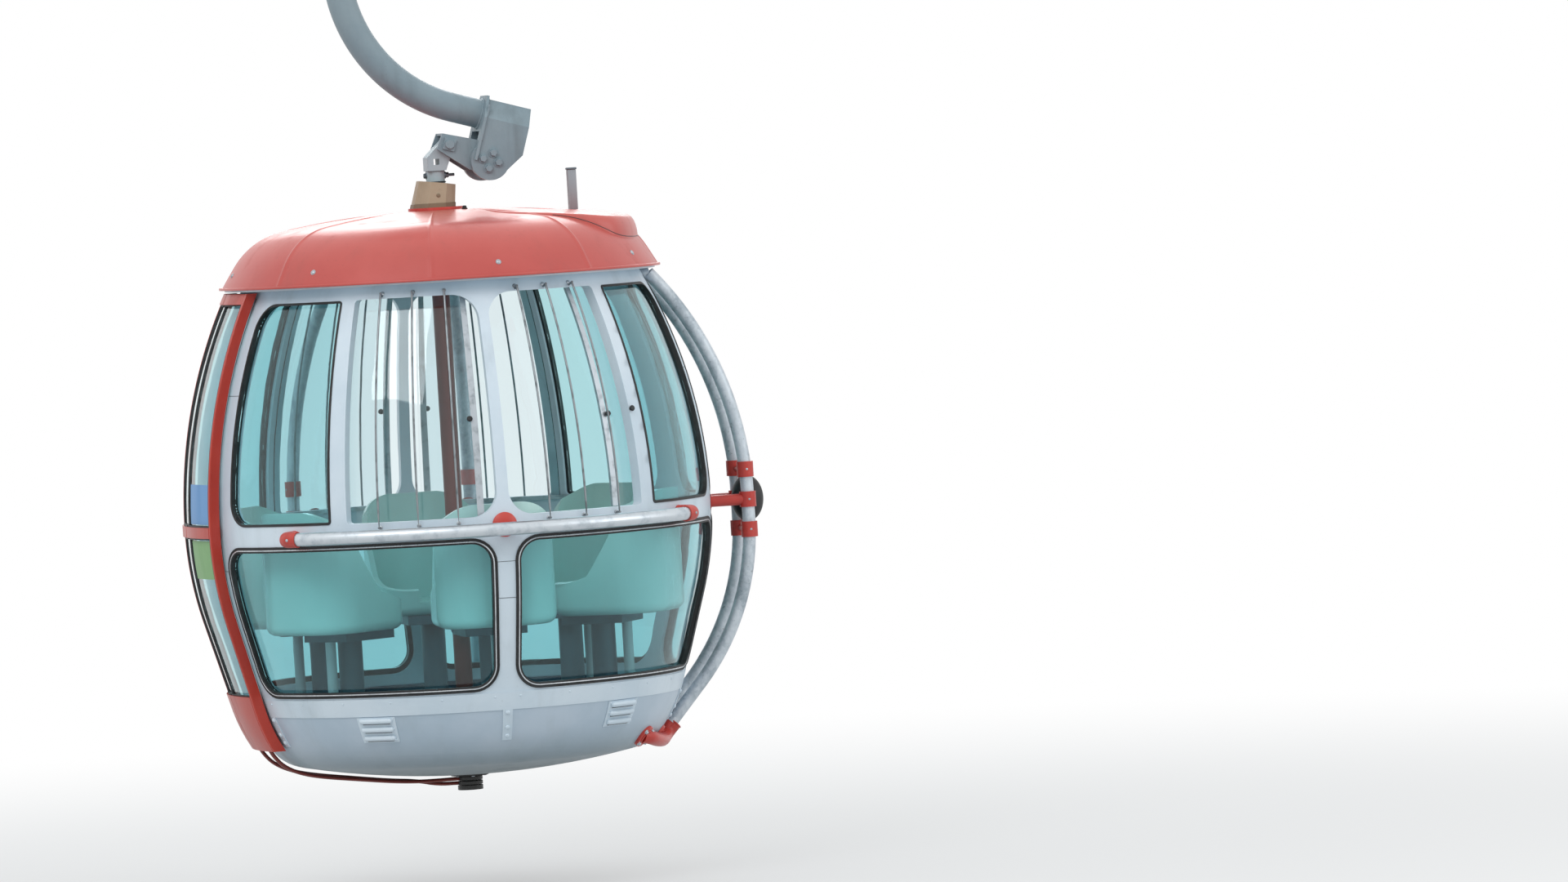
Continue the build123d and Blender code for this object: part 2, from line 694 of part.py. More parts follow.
def make_leaf():
    """Leaf A of the door as frame, panes and rubbers. It closes against -X from the near side."""
    outer = LEAF_GAP + LEAF_THICKNESS
    edge_gap = degrees((LEAF_SEAL + LEAF_MEETING_GAP) / BODY_RADIUS)
    start = 180 + edge_gap
    end = 180 + LEAF_ANGLE
    frame = turned(side_section(outer, LEAF_GAP, LEAF_BOTTOM_Z, LEAF_TOP_Z), start, end)
    panes = []
    rubbers = []
    middle = LEAF_GAP + LEAF_THICKNESS / 2
    for sight in door_windows(start + LEAF_EDGE_STILE, end - LEAF_STILE):
        opening = window_block(*sight)
        frame -= opening
        inner = window_block(*sight, inset=LEAF_SEAL)
        ring = shell(middle + GLASS, middle - GLASS, HULL_TOP_Z, LEAF_TOP_Z, start, end)
        rubbers.append((ring & opening) - inner)
        pane = shell(middle + GLASS / 2, middle - GLASS / 2, HULL_TOP_Z, LEAF_TOP_Z, start, end)
        panes.append(pane & inner)
    meeting_start = 180 + degrees(LEAF_MEETING_GAP / BODY_RADIUS)
    edge = turned(
        side_section(outer + LEAF_SEAL_PROUD, LEAF_GAP, LEAF_BOTTOM_Z, LEAF_TOP_Z), meeting_start, start)
    return frame, panes, rubbers + [edge]


def make_leaf_arm(collar_top):
    """Bar that carries leaf A from the hub under the hull, with its collar on the hub shaft."""
    angle = 180 + ARM_LEAF_ANGLE
    z = collar_top - ARM_THICKNESS / 2
    turn = [
        (ARM_COLLAR_RADIUS - 8, 0, z),
        (ARM_BEND_RADIUS, 0, z),
        (ARM_RISE_RADIUS, 0, ARM_RISE_Z),
        (ARM_END_RADIUS, 0, ARM_END_Z),
    ]
    path = FilletPolyline(*turn, radius=ARM_BEND)
    section = Plane(path @ 0, z_dir=path % 0) * RectangleRounded(ARM_THICKNESS, ARM_WIDTH, 5)
    arm = Rot(0, 0, angle) * sweep(section, path=path)
    collar = Pos(0, 0, z) * Cylinder(ARM_COLLAR_RADIUS, ARM_THICKNESS)
    bore = Pos(0, 0, z) * Cylinder(HUB_SHAFT_RADIUS + RUNNING_GAP, ARM_THICKNESS * 2)
    leaf_bottom = Pos(0, 0, LEAF_BOTTOM_Z + FAR / 2) * Box(FAR * 2, FAR * 2, FAR)
    return arm + collar - bore - leaf_bottom


def make_hub():
    """Fixed hub under the hull with the shaft on which both leaf arms turn."""
    top = hub_top()
    flange = Pos(0, 0, top) * Cylinder(
        HUB_FLANGE_RADIUS, HUB_FLANGE, align=(Align.CENTER, Align.CENTER, Align.MAX))
    shaft_low = arm_collar_top(1) - ARM_THICKNESS - ARM_GAP - HUB_NUT
    shaft = Pos(0, 0, shaft_low) * Cylinder(
        HUB_SHAFT_RADIUS, top - shaft_low, align=(Align.CENTER, Align.CENTER, Align.MIN))
    nut = Pos(0, 0, shaft_low) * Cylinder(
        HUB_RADIUS, HUB_NUT, align=(Align.CENTER, Align.CENTER, Align.MIN))
    hull = revolve(upright(hull_region(0)), Axis.Z, 360)
    return flange + shaft + nut - hull


def arm_collar_top(place):
    """Height of a collar's top, for the upper collar, place 0, and the lower one, place 1."""
    return hub_top() - HUB_FLANGE - ARM_GAP - place * (ARM_THICKNESS + ARM_GAP)


def hub_top():
    """Height at which the hub's flange meets the hull's dished bottom."""
    return HULL_DOME - sqrt(HULL_DOME ** 2 - HUB_FLANGE_RADIUS ** 2)


def belt_bracket(end_angle, side):
    """Elbow that turns the belt pipe's end in to the skin, with its pad."""
    radius = BODY_RADIUS + BELT_PIPE_OFFSET
    start = Vector(*around(end_angle, radius, BELT_PIPE_Z))
    outward = Vector(cos(radians(end_angle)), sin(radians(end_angle)), 0)
    along = Vector(-outward.Y, outward.X, 0) * side
    bend = start + along * (ELBOW_RADIUS + ELBOW_SOCKET)
    inner = bend - outward * (BELT_PIPE_OFFSET + ELBOW_SOCKET)
    path = FilletPolyline(start, bend, inner, radius=ELBOW_RADIUS)
    turn = degrees((ELBOW_RADIUS + ELBOW_SOCKET) / radius) * side
    pad = belt_pad(end_angle + turn, BELT_PIPE_Z, BELT_PIPE_Z - LOWER_HEAD_Z - SEAT_GAP)
    return rod(path, ELBOW_TUBE) + pad - body_core()


def belt_pad(angle, z, radius):
    """Round domed pad on the skin at the belt."""
    outline = make_face([
        Line((0, -PAD_DEPTH), (radius, -PAD_DEPTH)),
        Line((radius, -PAD_DEPTH), (radius, PAD_EDGE)),
        ThreePointArc((radius, PAD_EDGE), (radius * 0.55, PAD_DOME * 0.8), (0, PAD_DOME)),
        Line((0, PAD_DOME), (0, -PAD_DEPTH)),
    ])
    dome = revolve(upright(outline), Axis.Z, 360)
    outward = Vector(cos(radians(angle)), sin(radians(angle)), 0)
    origin = Vector(*around(angle, skin_radius(z), z))
    return Plane(origin, z_dir=outward) * dome


def body_core():
    """Solid of the whole body and a seat gap round it, for trimming what stands on it."""
    core = skin_band(SEAT_GAP, -BODY_RADIUS / 2) & slab(HULL_SPLIT_Z, FRAME_TOP_Z)
    core += hull_region(-SEAT_GAP) & slab(0, HULL_SPLIT_Z)
    return revolve(upright(core), Axis.Z, 360)


def make_belt_guard():
    """Pipe round side A at the belt as pipe and fittings."""
    radius = BODY_RADIUS + BELT_PIPE_OFFSET
    pipe = Pos(0, 0, BELT_PIPE_Z) * rod(
        CenterArc((0, 0), radius, NEAR_SIDE - BELT_PIPE_HALF, 2 * BELT_PIPE_HALF), PIPE_RADIUS)
    spacer = bar_between(
        around(NEAR_SIDE, BODY_RADIUS - 10, BELT_PIPE_Z),
        around(NEAR_SIDE, radius, BELT_PIPE_Z), SPACER_RADIUS)
    middle = (spacer + belt_pad(NEAR_SIDE, PLUG_Z, PAD_RADIUS)) - pipe - body_core()
    ends = [
        belt_bracket(NEAR_SIDE - BELT_PIPE_HALF, -1),
        belt_bracket(NEAR_SIDE + BELT_PIPE_HALF, 1),
    ]
    return pipe, [middle] + ends


def guard_line():
    """Upright guard pipe's centre line in the plane y = 0, from its head down to its foot."""
    top = degrees(asin((END_PIPE_TOP_Z - BELT_Z) / END_PIPE_UPPER_ARC))
    low_z = BELT_Z - END_PIPE_STRAIGHT
    foot = radians(END_PIPE_FOOT_ANGLE)
    bend_x = END_PIPE_REACH - END_PIPE_LOWER_ARC * (1 - cos(foot))
    bend_z = low_z - END_PIPE_LOWER_ARC * sin(foot)
    foot_x = bend_x - (bend_z - END_PIPE_FOOT_Z) * tan(foot)
    return upright(Curve() + [
        CenterArc((END_PIPE_REACH - END_PIPE_UPPER_ARC, BELT_Z), END_PIPE_UPPER_ARC, top, -top),
        Line((END_PIPE_REACH, BELT_Z), (END_PIPE_REACH, low_z)),
        CenterArc((END_PIPE_REACH - END_PIPE_LOWER_ARC, low_z), END_PIPE_LOWER_ARC, 0, -END_PIPE_FOOT_ANGLE),
        Line((bend_x, bend_z), (foot_x, END_PIPE_FOOT_Z)),
    ]), (foot_x, END_PIPE_FOOT_Z)


def guard_reach(z):
    """The upright guard pipe's distance from the axis at a height from the belt's straight run up."""
    if z < BELT_Z:
        return END_PIPE_REACH
    return END_PIPE_REACH - END_PIPE_UPPER_ARC + sqrt(END_PIPE_UPPER_ARC ** 2 - (z - BELT_Z) ** 2)


def upright_guard(y, hook):
    """One upright guard pipe in its plane at y, as pipe and fittings. hook is its foot's turn."""
    line, foot = guard_line()
    pipe = Pos(0, y, 0) * rod(line, PIPE_RADIUS)
    pipe += bar_between(
        (BODY_RADIUS * 0.7, y, END_PIPE_TOP_Z), (guard_reach(END_PIPE_TOP_Z), y, END_PIPE_TOP_Z),
        PIPE_RADIUS * 0.8)
    pipe -= body_core()
    fittings = bar_between((BODY_RADIUS * 0.8, y, SPACER_Z), (END_PIPE_REACH, y, SPACER_Z), SPACER_RADIUS)
    for z in (SPACER_Z - SLEEVE_PITCH, SPACER_Z, SPACER_Z + SLEEVE_PITCH):
        fittings += Pos(guard_reach(z), y, z) * Cylinder(SLEEVE_RADIUS, SLEEVE_LENGTH)
    drop = Vector(-sin(radians(END_PIPE_FOOT_ANGLE)), 0, -cos(radians(END_PIPE_FOOT_ANGLE)))
    start = Vector(foot[0], y, foot[1])
    knee = start + drop * FOOT_KNEE
    toe = Vector(knee.X - FOOT_REACH / 2, y + hook * FOOT_REACH, knee.Z + FOOT_RISE)
    elbow = rod(FilletPolyline(start, knee, toe, radius=FOOT_BEND), FOOT_TUBE)
    pad = Pos(toe.X, toe.Y, toe.Z) * Sphere(FOOT_PAD)
    skin = turned(hull_region(-FOOT_PAD_THICK) - hull_region(-SEAT_GAP), -FOOT_PAD_TURN, FOOT_PAD_TURN)
    feet = elbow + (pad & skin)
    core = body_core()
    return pipe, [fittings - pipe - core, feet - core - pipe]


def make_buffer():
    """Rubber buffer between the two pipes of side C, as mounting plate and two halves of rubber."""
    plate = Pos(END_PIPE_REACH, 0, SPACER_Z) * Box(
        BUFFER_PLATE * 2, 2 * END_PIPE_SPREAD - 2 * SLEEVE_RADIUS, BUFFER_PLATE_HEIGHT)
    for z in (SPACER_Z - SLEEVE_PITCH, SPACER_Z + SLEEVE_PITCH):
        x = guard_reach(z)
        tie = bar_between((x, -END_PIPE_SPREAD, z), (x, END_PIPE_SPREAD, z), TIE_RADIUS)
        for y in (-END_PIPE_SPREAD, END_PIPE_SPREAD):
            tie -= Pos(x, y, z) * Cylinder(SLEEVE_RADIUS, SLEEVE_LENGTH)
        plate += tie
        plate += Pos(END_PIPE_REACH, 0, (z + SPACER_Z) / 2) * Box(
            BUFFER_PLATE * 2, BUFFER_RIB, abs(z - SPACER_Z))
    egg = scale(Sphere(BUFFER_RADIUS), by=(1, 1, BUFFER_HEIGHT / 2 / BUFFER_RADIUS))
    middle = Pos(END_PIPE_REACH, 0, SPACER_Z) * Box(BUFFER_PLATE * 2, FAR, FAR)
    return plate, Pos(BUFFER_X, 0, SPACER_Z) * egg - middle


def make_seat():
    """Moulded tub seat, facing the axis from -X, made of one shell."""
    back_x = -SEAT_BACK_RADIUS
    front_x = back_x + SEAT_DEPTH
    plan = Polygon(
        (back_x, -SEAT_WIDTH / 2), (front_x, -SEAT_FRONT_WIDTH / 2),
        (front_x, SEAT_FRONT_WIDTH / 2), (back_x, SEAT_WIDTH / 2), align=None)
    rear = plan.vertices().sort_by(Axis.X)[:2]
    plan = fillet(rear, SEAT_PLAN_RADIUS)
    plan = fillet(plan.vertices().sort_by(Axis.X)[-2:], SEAT_FRONT_RADIUS)
    bottom = SEAT_PAN_Z - SEAT_DISH
    tub = Pos(0, 0, bottom) * extrude(plan, SEAT_BACK + SEAT_DISH)
    low_edges = tub.edges().group_by(Axis.Z)[0]
    tub = fillet(low_edges, SEAT_DISH * 0.7)
    inside = offset(plan, -SEAT_WALL)
    inside += Pos(front_x - SEAT_WALL, 0) * Rectangle(
        SEAT_WALL * 3, SEAT_FRONT_WIDTH - 2 * SEAT_WALL - 2 * SEAT_FRONT_RADIUS)
    tub -= Pos(0, 0, SEAT_PAN_Z) * extrude(inside, SEAT_BACK * 2)
    arm_z = SEAT_PAN_Z + SEAT_SIDE
    top_z = SEAT_PAN_Z + SEAT_BACK
    crown_x = back_x + SEAT_DEPTH * SEAT_CROWN_SHARE
    shoulder = (back_x + SEAT_DEPTH * SEAT_SHOULDER_SHARE, (top_z + arm_z) / 2 + SEAT_BULGE)
    knee_x = back_x + SEAT_DEPTH * SEAT_KNEE_SHARE
    clear_x = front_x + SEAT_MARGIN
    lip_z = SEAT_PAN_Z + SEAT_FRONT_LIP
    clear_z = top_z + SEAT_BACK
    behind_x = back_x - SEAT_MARGIN
    cut = make_face([
        Line((behind_x, top_z), (crown_x, top_z)),
        ThreePointArc((crown_x, top_z), shoulder, (knee_x, arm_z)),
        Line((knee_x, arm_z), (clear_x, lip_z)),
        Line((clear_x, lip_z), (clear_x, clear_z)),
        Line((clear_x, clear_z), (behind_x, clear_z)),
        Line((behind_x, clear_z), (behind_x, top_z)),
    ])
    tub -= Pos(0, SEAT_WIDTH, 0) * extrude(upright(cut), SEAT_WIDTH * 2)
    arch = Rectangle(SEAT_WIDTH, SEAT_BACK + SEAT_DISH + 2)
    arch = fillet(arch.vertices().sort_by(Axis.Y)[-2:], SEAT_PLAN_RADIUS)
    outline = Plane((behind_x, 0, (bottom + top_z) / 2), x_dir=(0, 1, 0), z_dir=(1, 0, 0)) * arch
    return tub & extrude(outline, SEAT_DEPTH + 2 * SEAT_MARGIN)


def make_seat_support():
    """Column, tube and brackets under one seat, for the seat that faces the axis from -X."""
    bottom = SEAT_PAN_Z - SEAT_DISH
    column_top = bottom - BRACKET_HEIGHT
    height = column_top - FLOOR_Z
    column = Pos(-COLUMN_PLACE, 0, FLOOR_Z) * Cylinder(
        COLUMN_RADIUS, height, align=(Align.CENTER, Align.CENTER, Align.MIN))
    base = Pos(-COLUMN_PLACE, 0, FLOOR_Z) * Cylinder(
        COLUMN_RADIUS * 1.5, COLUMN_FOOT, align=(Align.CENTER, Align.CENTER, Align.MIN))
    bracket = Pos(-COLUMN_PLACE, 0, column_top) * Box(
        SEAT_DEPTH * BRACKET_SHARE[0], SEAT_WIDTH * BRACKET_SHARE[1], BRACKET_HEIGHT,
        align=(Align.CENTER, Align.CENTER, Align.MIN))
    tube = Pos(-COLUMN_PLACE - TUBE_OFFSET, 0, FLOOR_Z) * Cylinder(
        TUBE_RADIUS, height, align=(Align.CENTER, Align.CENTER, Align.MIN))
    return column + base, bracket, tube - column - base


def make_pole():
    """Middle pole from the floor to the roof."""
    top = ROOF_TOP_Z - ROOF_WALL - RUNNING_GAP
    return Pos(0, 0, FLOOR_Z) * Cylinder(
        POLE_RADIUS, top - FLOOR_Z, align=(Align.CENTER, Align.CENTER, Align.MIN))


def make_roof_mount():
    """Faceted block on the roof's crown with its base ring."""
    crown = revolve(upright(roof_outline(SEAT_GAP)), Axis.Z, 360)
    low = Plane((MOUNT_LEAN, 0, ROOF_TOP_Z - MOUNT_SUNK)) * RegularPolygon(
        MOUNT_WIDTH / 2 * 1.08, 8, rotation=22.5)
    tilt = Plane((-MOUNT_LEAN / 2, 0, ROOF_TOP_Z + MOUNT_HEIGHT)).rotated((0, MOUNT_TILT, 0))
    high = tilt * RegularPolygon(MOUNT_WIDTH / 2 * 0.93, 8, rotation=22.5)
    block = loft([low, high], ruled=True)
    ring = Pos(0, 0, ROOF_TOP_Z - MOUNT_RING_SUNK) * Cylinder(
        MOUNT_RING_RADIUS, MOUNT_RING_HEIGHT, align=(Align.CENTER, Align.CENTER, Align.MIN))
    return block - crown - ring, ring - crown


def plate_xz(outline, y_low, y_high):
    """Plate with an outline in x and z, between two y values."""
    return Pos(0, y_high, 0) * extrude(upright(outline), y_high - y_low, dir=(0, -1, 0))


def plate_yz(outline, x_low, x_high):
    """Plate with an outline in y and z, between two x values."""
    stand = Plane((x_low, 0, 0), x_dir=(0, 1, 0), z_dir=(1, 0, 0)) * outline
    return extrude(stand, x_high - x_low, dir=(1, 0, 0))


def make_clevis():
    """Stub and eye on the roof mount that hang on the suspension pin."""
    mount_top = ROOF_TOP_Z + MOUNT_HEIGHT
    stub = Pos(CLEVIS_X, 0, mount_top - STUB_FOOT) * Cylinder(
        STUB_RADIUS, STUB_HEIGHT + STUB_FOOT, align=(Align.CENTER, Align.CENTER, Align.MIN))
    neck_z = mount_top + STUB_HEIGHT
    left = CLEVIS_X - STUB_RADIUS
    right = CLEVIS_X + STUB_RADIUS
    outline = Polygon(
        (left, neck_z), (right, neck_z), (PIN_X + EYE_RADIUS * 0.8, PIN_Z - EYE_RADIUS * 0.6),
        (PIN_X - EYE_RADIUS * 0.6, PIN_Z + EYE_RADIUS * 0.8), (left + CLEVIS_SHOULDER, neck_z + CLEVIS_RISE),
        (left, neck_z + CLEVIS_RISE - CLEVIS_SHOULDER), align=None)
    eye = outline + Pos(PIN_X, PIN_Z) * Circle(EYE_RADIUS)
    body = plate_xz(eye, -CLEVIS_WIDTH / 2, CLEVIS_WIDTH / 2)
    window = Pos(CLEVIS_X, 0, neck_z + CLEVIS_RISE / 2) * Box(CLEVIS_WINDOW, CLEVIS_WIDTH * 2, CLEVIS_WINDOW)
    bore = bar_between((PIN_X, -FAR, PIN_Z), (PIN_X, FAR, PIN_Z), PIN_RADIUS + PIN_CLEARANCE)
    mount, _ = make_roof_mount()
    return (stub + body) - window - bore - mount


def make_lever():
    """Channel lever from the suspension pin to the rubber unit, with the pin and its keepers."""
    half = LEVER_SPAN / 2
    unit_x, unit_z = along_neck(DAMPER_PLACE)
    top = [
        (PIN_X + LEVER_NOSE[0], PIN_Z + LEVER_NOSE[1]),
        (unit_x + LEVER_HEEL[0], unit_z + LEVER_HEEL[1]),
    ]
    outline = Polygon(
        *top, (unit_x + LEVER_EYE * 0.9, unit_z), (unit_x, unit_z - LEVER_EYE * 0.9),
        (PIN_X + LEVER_BELLY[0], PIN_Z + LEVER_BELLY[1]), (PIN_X + LEVER_CHIN[0], PIN_Z + LEVER_CHIN[1]),
        align=None)
    outline += Pos(unit_x, unit_z) * Circle(LEVER_EYE)
    cheeks = plate_xz(outline, -half, half) - plate_xz(outline, -half + LEVER_THICKNESS, half - LEVER_THICKNESS)
    under = [(x, z - LEVER_WEB) for x, z in reversed(top)]
    web = plate_xz(Polygon(*top, *under, align=None), -half, half)
    lever = cheeks + web + bar_between((unit_x, -half, unit_z), (unit_x, half, unit_z), LEVER_EYE * 0.8)
    keeper_y = half + KEEPER_THICKNESS
    lever += bar_between((PIN_X, -keeper_y, PIN_Z), (PIN_X, keeper_y, PIN_Z), PIN_RADIUS)
    keeper = Pos(PIN_X, PIN_Z) * Rot(0, 0, -NECK_SLOPE) * Rectangle(KEEPER_SIZE, KEEPER_SIZE)
    for low, high in ((-keeper_y, -half), (half, keeper_y)):
        lever += plate_xz(keeper, low, high)
    return lever


def along_neck(place):
    """Point given along the neck's lower end and across it, as x and z."""
    along, across = place
    slope = radians(NECK_SLOPE)
    return (
        NECK_START[0] + along * cos(slope) + across * sin(slope),
        NECK_START[1] - along * sin(slope) + across * cos(slope))


def housing_section(inset, drop):
    """Section of the rubber unit's housing across the neck, with its upper corners cut off."""
    half = DAMPER_WIDTH / 2 - inset
    top = HOUSING_TOP - inset
    return Polygon(
        (-half, -drop), (half, -drop), (half, HOUSING_BEND), (half - HOUSING_BEVEL, top),
        (-half + HOUSING_BEVEL, top), (-half, HOUSING_BEND), align=None)


def along_neck_block(sketch, start, end):
    """Solid of a section across the neck's lower end, from one distance along it to another."""
    slope = radians(NECK_SLOPE)
    x, z = along_neck((start, 0))
    frame = Plane((x, 0, z), x_dir=(0, 1, 0), z_dir=(cos(slope), 0, -sin(slope)))
    return extrude(frame * sketch, end - start, dir=(cos(slope), 0, -sin(slope)))


def make_damper():
    """Housing of the rubber suspension unit at the foot of the neck, open below for the lever."""
    half = DAMPER_WIDTH / 2
    unit = along_neck(DAMPER_PLACE)
    middle, low = DAMPER_PLACE
    corners = [
        (0, HOUSING_TOP), (HOUSING_LENGTH, HOUSING_TOP), (HOUSING_LENGTH, HOUSING_SHOULDER),
        (middle + DAMPER_RADIUS * 0.6, low - DAMPER_RADIUS * 0.8),
        (middle - DAMPER_RADIUS * 0.6, low - DAMPER_RADIUS * 0.8), (0, low),
    ]
    outline = Polygon(*[along_neck(point) for point in corners], align=None)
    outline += Pos(*unit) * Circle(DAMPER_RADIUS)
    body = plate_xz(outline, -half, half) & along_neck_block(
        housing_section(0, HOUSING_DROP), -FAR / 4, HOUSING_LENGTH)
    mouth = Pos(0, (HOUSING_BEND - HOUSING_DROP) / 2) * Rectangle(
        LEVER_SPAN + 2 * LEVER_GAP, HOUSING_BEND + HOUSING_DROP)
    return body - along_neck_block(mouth, -FAR / 4, HOUSING_LENGTH - HOUSING_WALL)


def neck_path():
    """Centre line of the neck, from the suspension up to the flange."""
    start_x, start_z = NECK_START
    corner_z = start_z + (start_x - NECK_X) * tan(radians(NECK_SLOPE))
    return FilletPolyline(
        (start_x, 0, start_z), (NECK_X, 0, corner_z), (NECK_X, 0, FLANGE_Z), radius=NECK_BEND)


def gussets(base_z, height, radius, up):
    """Four triangular gussets between a flange and the tube it is on."""
    blades = []
    for angle in (45, 135, 225, 315):
        tip = FLANGE_RADIUS - GUSSET_EDGE
        root = radius - GUSSET_ROOT
        outline = Polygon((root, base_z), (tip, base_z), (root, base_z + up * height), align=None)
        blade = plate_xz(outline, -GUSSET_THICKNESS / 2, GUSSET_THICKNESS / 2)
        blades.append(Pos(NECK_X, 0, 0) * Rot(0, 0, angle) * blade)
    return blades


def make_neck():
    """Swan neck tube with its foot plate and its lower flange."""
    tube = rod(neck_path(), NECK_RADIUS)
    flange = Pos(NECK_X, 0, FLANGE_Z) * Cylinder(
        FLANGE_RADIUS, FLANGE_THICKNESS, align=(Align.CENTER, Align.CENTER, Align.MIN))
    neck = tube + flange
    for blade in gussets(FLANGE_Z, GUSSET_HEIGHT, NECK_RADIUS, -1):
        neck += blade
    plate = housing_section(-FOOT_PLATE_PROUD, FOOT_PLATE_DROP)
    mouth_top = -NECK_RADIUS - FOOT_PLATE_PROUD
    mouth = Pos(0, (mouth_top - FOOT_PLATE_DROP - FOOT_PLATE) / 2) * Rectangle(
        LEVER_SPAN + 2 * LEVER_GAP, FOOT_PLATE_DROP + mouth_top + FOOT_PLATE)
    return (neck + along_neck_block(plate - mouth, -FOOT_PLATE, 0)) - make_damper()


def make_mast():
    """Square mast from the upper flange to the swing head."""
    base_z = FLANGE_Z + FLANGE_THICKNESS
    flange = Pos(NECK_X, 0, base_z) * Cylinder(
        FLANGE_RADIUS, FLANGE_THICKNESS, align=(Align.CENTER, Align.CENTER, Align.MIN))
    foot_z = base_z + FLANGE_THICKNESS
    run = Vector(MAST_TOP_X - NECK_X, 0, MAST_TOP_Z - foot_z)
    start = Vector(NECK_X, 0, foot_z) - run.normalized() * MAST_SUNK
    section = RectangleRounded(MAST_SIZE, MAST_SIZE, MAST_CORNER)
    column = extrude(
        Plane(start, x_dir=(0, 1, 0), z_dir=run.normalized()) * section, run.length + MAST_SUNK)
    column -= Pos(NECK_X, 0, foot_z) * Box(FAR, FAR, FAR, align=(Align.CENTER, Align.CENTER, Align.MAX))
    mast = flange + column
    for blade in gussets(foot_z, GUSSET_HEIGHT, MAST_SIZE / 2, 1):
        mast += blade
    return mast


def make_head():
    """Forged head on the mast with the bore for the swing pin."""
    half = HEAD_WIDTH / 2
    foot = MAST_SIZE / 2 + HEAD_PROUD
    outline = Polygon(
        (-foot, MAST_TOP_Z - HEAD_DROP), (foot, MAST_TOP_Z - HEAD_DROP),
        (HEAD_RADIUS, SWING_PIN_Z), (-HEAD_RADIUS, SWING_PIN_Z), align=None)
    profile = outline + Pos(0, SWING_PIN_Z) * Circle(HEAD_RADIUS)
    head = plate_yz(profile, MAST_TOP_X - half, MAST_TOP_X + half)
    bore = bar_between(
        (MAST_TOP_X - FAR, 0, SWING_PIN_Z), (MAST_TOP_X + FAR, 0, SWING_PIN_Z),
        SWING_PIN_RADIUS + PIN_CLEARANCE)
    return head - bore - make_mast()


def make_grip_body():
    """Grip casting: fixed jaw on the rope, its arm, and the fork with the swing pin."""
    rope_z = ROPE_HEIGHT
    half = GRIP_LENGTH / 2
    outline = Polygon(
        (-JAW_GAP / 2, rope_z + JAW_TOP), (-JAW_GAP / 2, rope_z - JAW_LIP),
        (-CASTING_NOSE, rope_z - CASTING_DEPTH), (FORK_LEFT, rope_z - CASTING_DEPTH),
        (FORK_LEFT, rope_z + CASTING_TOP), (-JAW_SEAT, rope_z + CASTING_TOP), align=None)
    casting = plate_xz(outline, -half, half)
    casting = fillet(casting.edges().filter_by(Axis.Y), CASTING_CORNER)
    casting -= bar_between((0, -FAR, rope_z), (0, FAR, rope_z), ROPE_RADIUS)
    for left, right in ((FORK_LEFT, FORK_LEFT + FORK_CHEEK), (FORK_RIGHT - FORK_CHEEK, FORK_RIGHT)):
        strap = Pos(0, (SWING_PIN_Z + rope_z) / 2) * Rectangle(FORK_WIDTH, rope_z - SWING_PIN_Z)
        cheek = strap + Pos(0, SWING_PIN_Z) * Circle(FORK_WIDTH / 2)
        casting += plate_yz(cheek, left, right)
    return casting + bar_between(
        (FORK_LEFT - PIN_PROUD, 0, SWING_PIN_Z), (FORK_RIGHT + PIN_PROUD, 0, SWING_PIN_Z), SWING_PIN_RADIUS)


def make_grip_jaw():
    """Moving jaw on the rope's other side."""
    rope_z = ROPE_HEIGHT
    half = GRIP_LENGTH * JAW_SHARE / 2
    outline = Polygon(
        (JAW_GAP / 2, rope_z + JAW_TOP), (JAW_GAP / 2, rope_z - JAW_LIP), (JAW_TOE, rope_z - JAW_LIP),
        (JAW_WIDTH, rope_z - JAW_HEEL), (JAW_WIDTH, rope_z + JAW_TOP), align=None)
    jaw = plate_xz(outline, -half, half)
    reach, width, height = JAW_TONGUE
    seat_z = rope_z + CASTING_TOP + SEAT_GAP
    low_z = rope_z + JAW_TOP - JAW_HEEL
    tip_x = -JAW_SEAT - reach
    jaw += plate_xz(Polygon(
        (JAW_GAP / 2, low_z), (JAW_WIDTH, low_z), (JAW_WIDTH, seat_z + height), (tip_x, seat_z + height),
        (tip_x, seat_z), (JAW_GAP / 2, seat_z), align=None), -width / 2, width / 2)
    return jaw - bar_between((0, -FAR, rope_z), (0, FAR, rope_z), ROPE_RADIUS)


def wheel_bar(left, right, y, radius):
    """Round bar along a running wheel's axis."""
    return bar_between((left, y, WHEEL_Z), (right, y, WHEEL_Z), radius)


def make_wheel(y):
    """Running wheel of the grip, bored for its axle."""
    left = WHEEL_X - WHEEL_WIDTH / 2
    right = WHEEL_X + WHEEL_WIDTH / 2
    rim = wheel_bar(left, right, y, WHEEL_RADIUS)
    recess = wheel_bar(left, left + WHEEL_RECESS, y, WHEEL_RADIUS - WHEEL_RIM)
    boss = wheel_bar(left, WHEEL_X, y, AXLE_RADIUS + WHEEL_BOSS)
    return rim - recess + boss - wheel_bar(left - FAR, right + FAR, y, AXLE_RADIUS + PIN_CLEARANCE)


def make_axles():
    """Cross beam on the grip with the axles of both running wheels."""
    beam_x = WHEEL_X + WHEEL_WIDTH / 2 + WHEEL_GAP
    beam = Pos((beam_x + FORK_LEFT) / 2, 0, WHEEL_Z) * Box(
        FORK_LEFT - beam_x, WHEEL_SPACING + 2 * BEAM_OVERHANG, BEAM_HEIGHT)
    end_x = WHEEL_X - WHEEL_WIDTH / 2 - AXLE_HEAD
    for y in (-WHEEL_SPACING / 2, WHEEL_SPACING / 2):
        beam += wheel_bar(end_x, beam_x + AXLE_SUNK, y, AXLE_RADIUS)
        beam += wheel_bar(end_x - AXLE_PROUD, end_x, y, AXLE_RADIUS + AXLE_PROUD)
    return beam


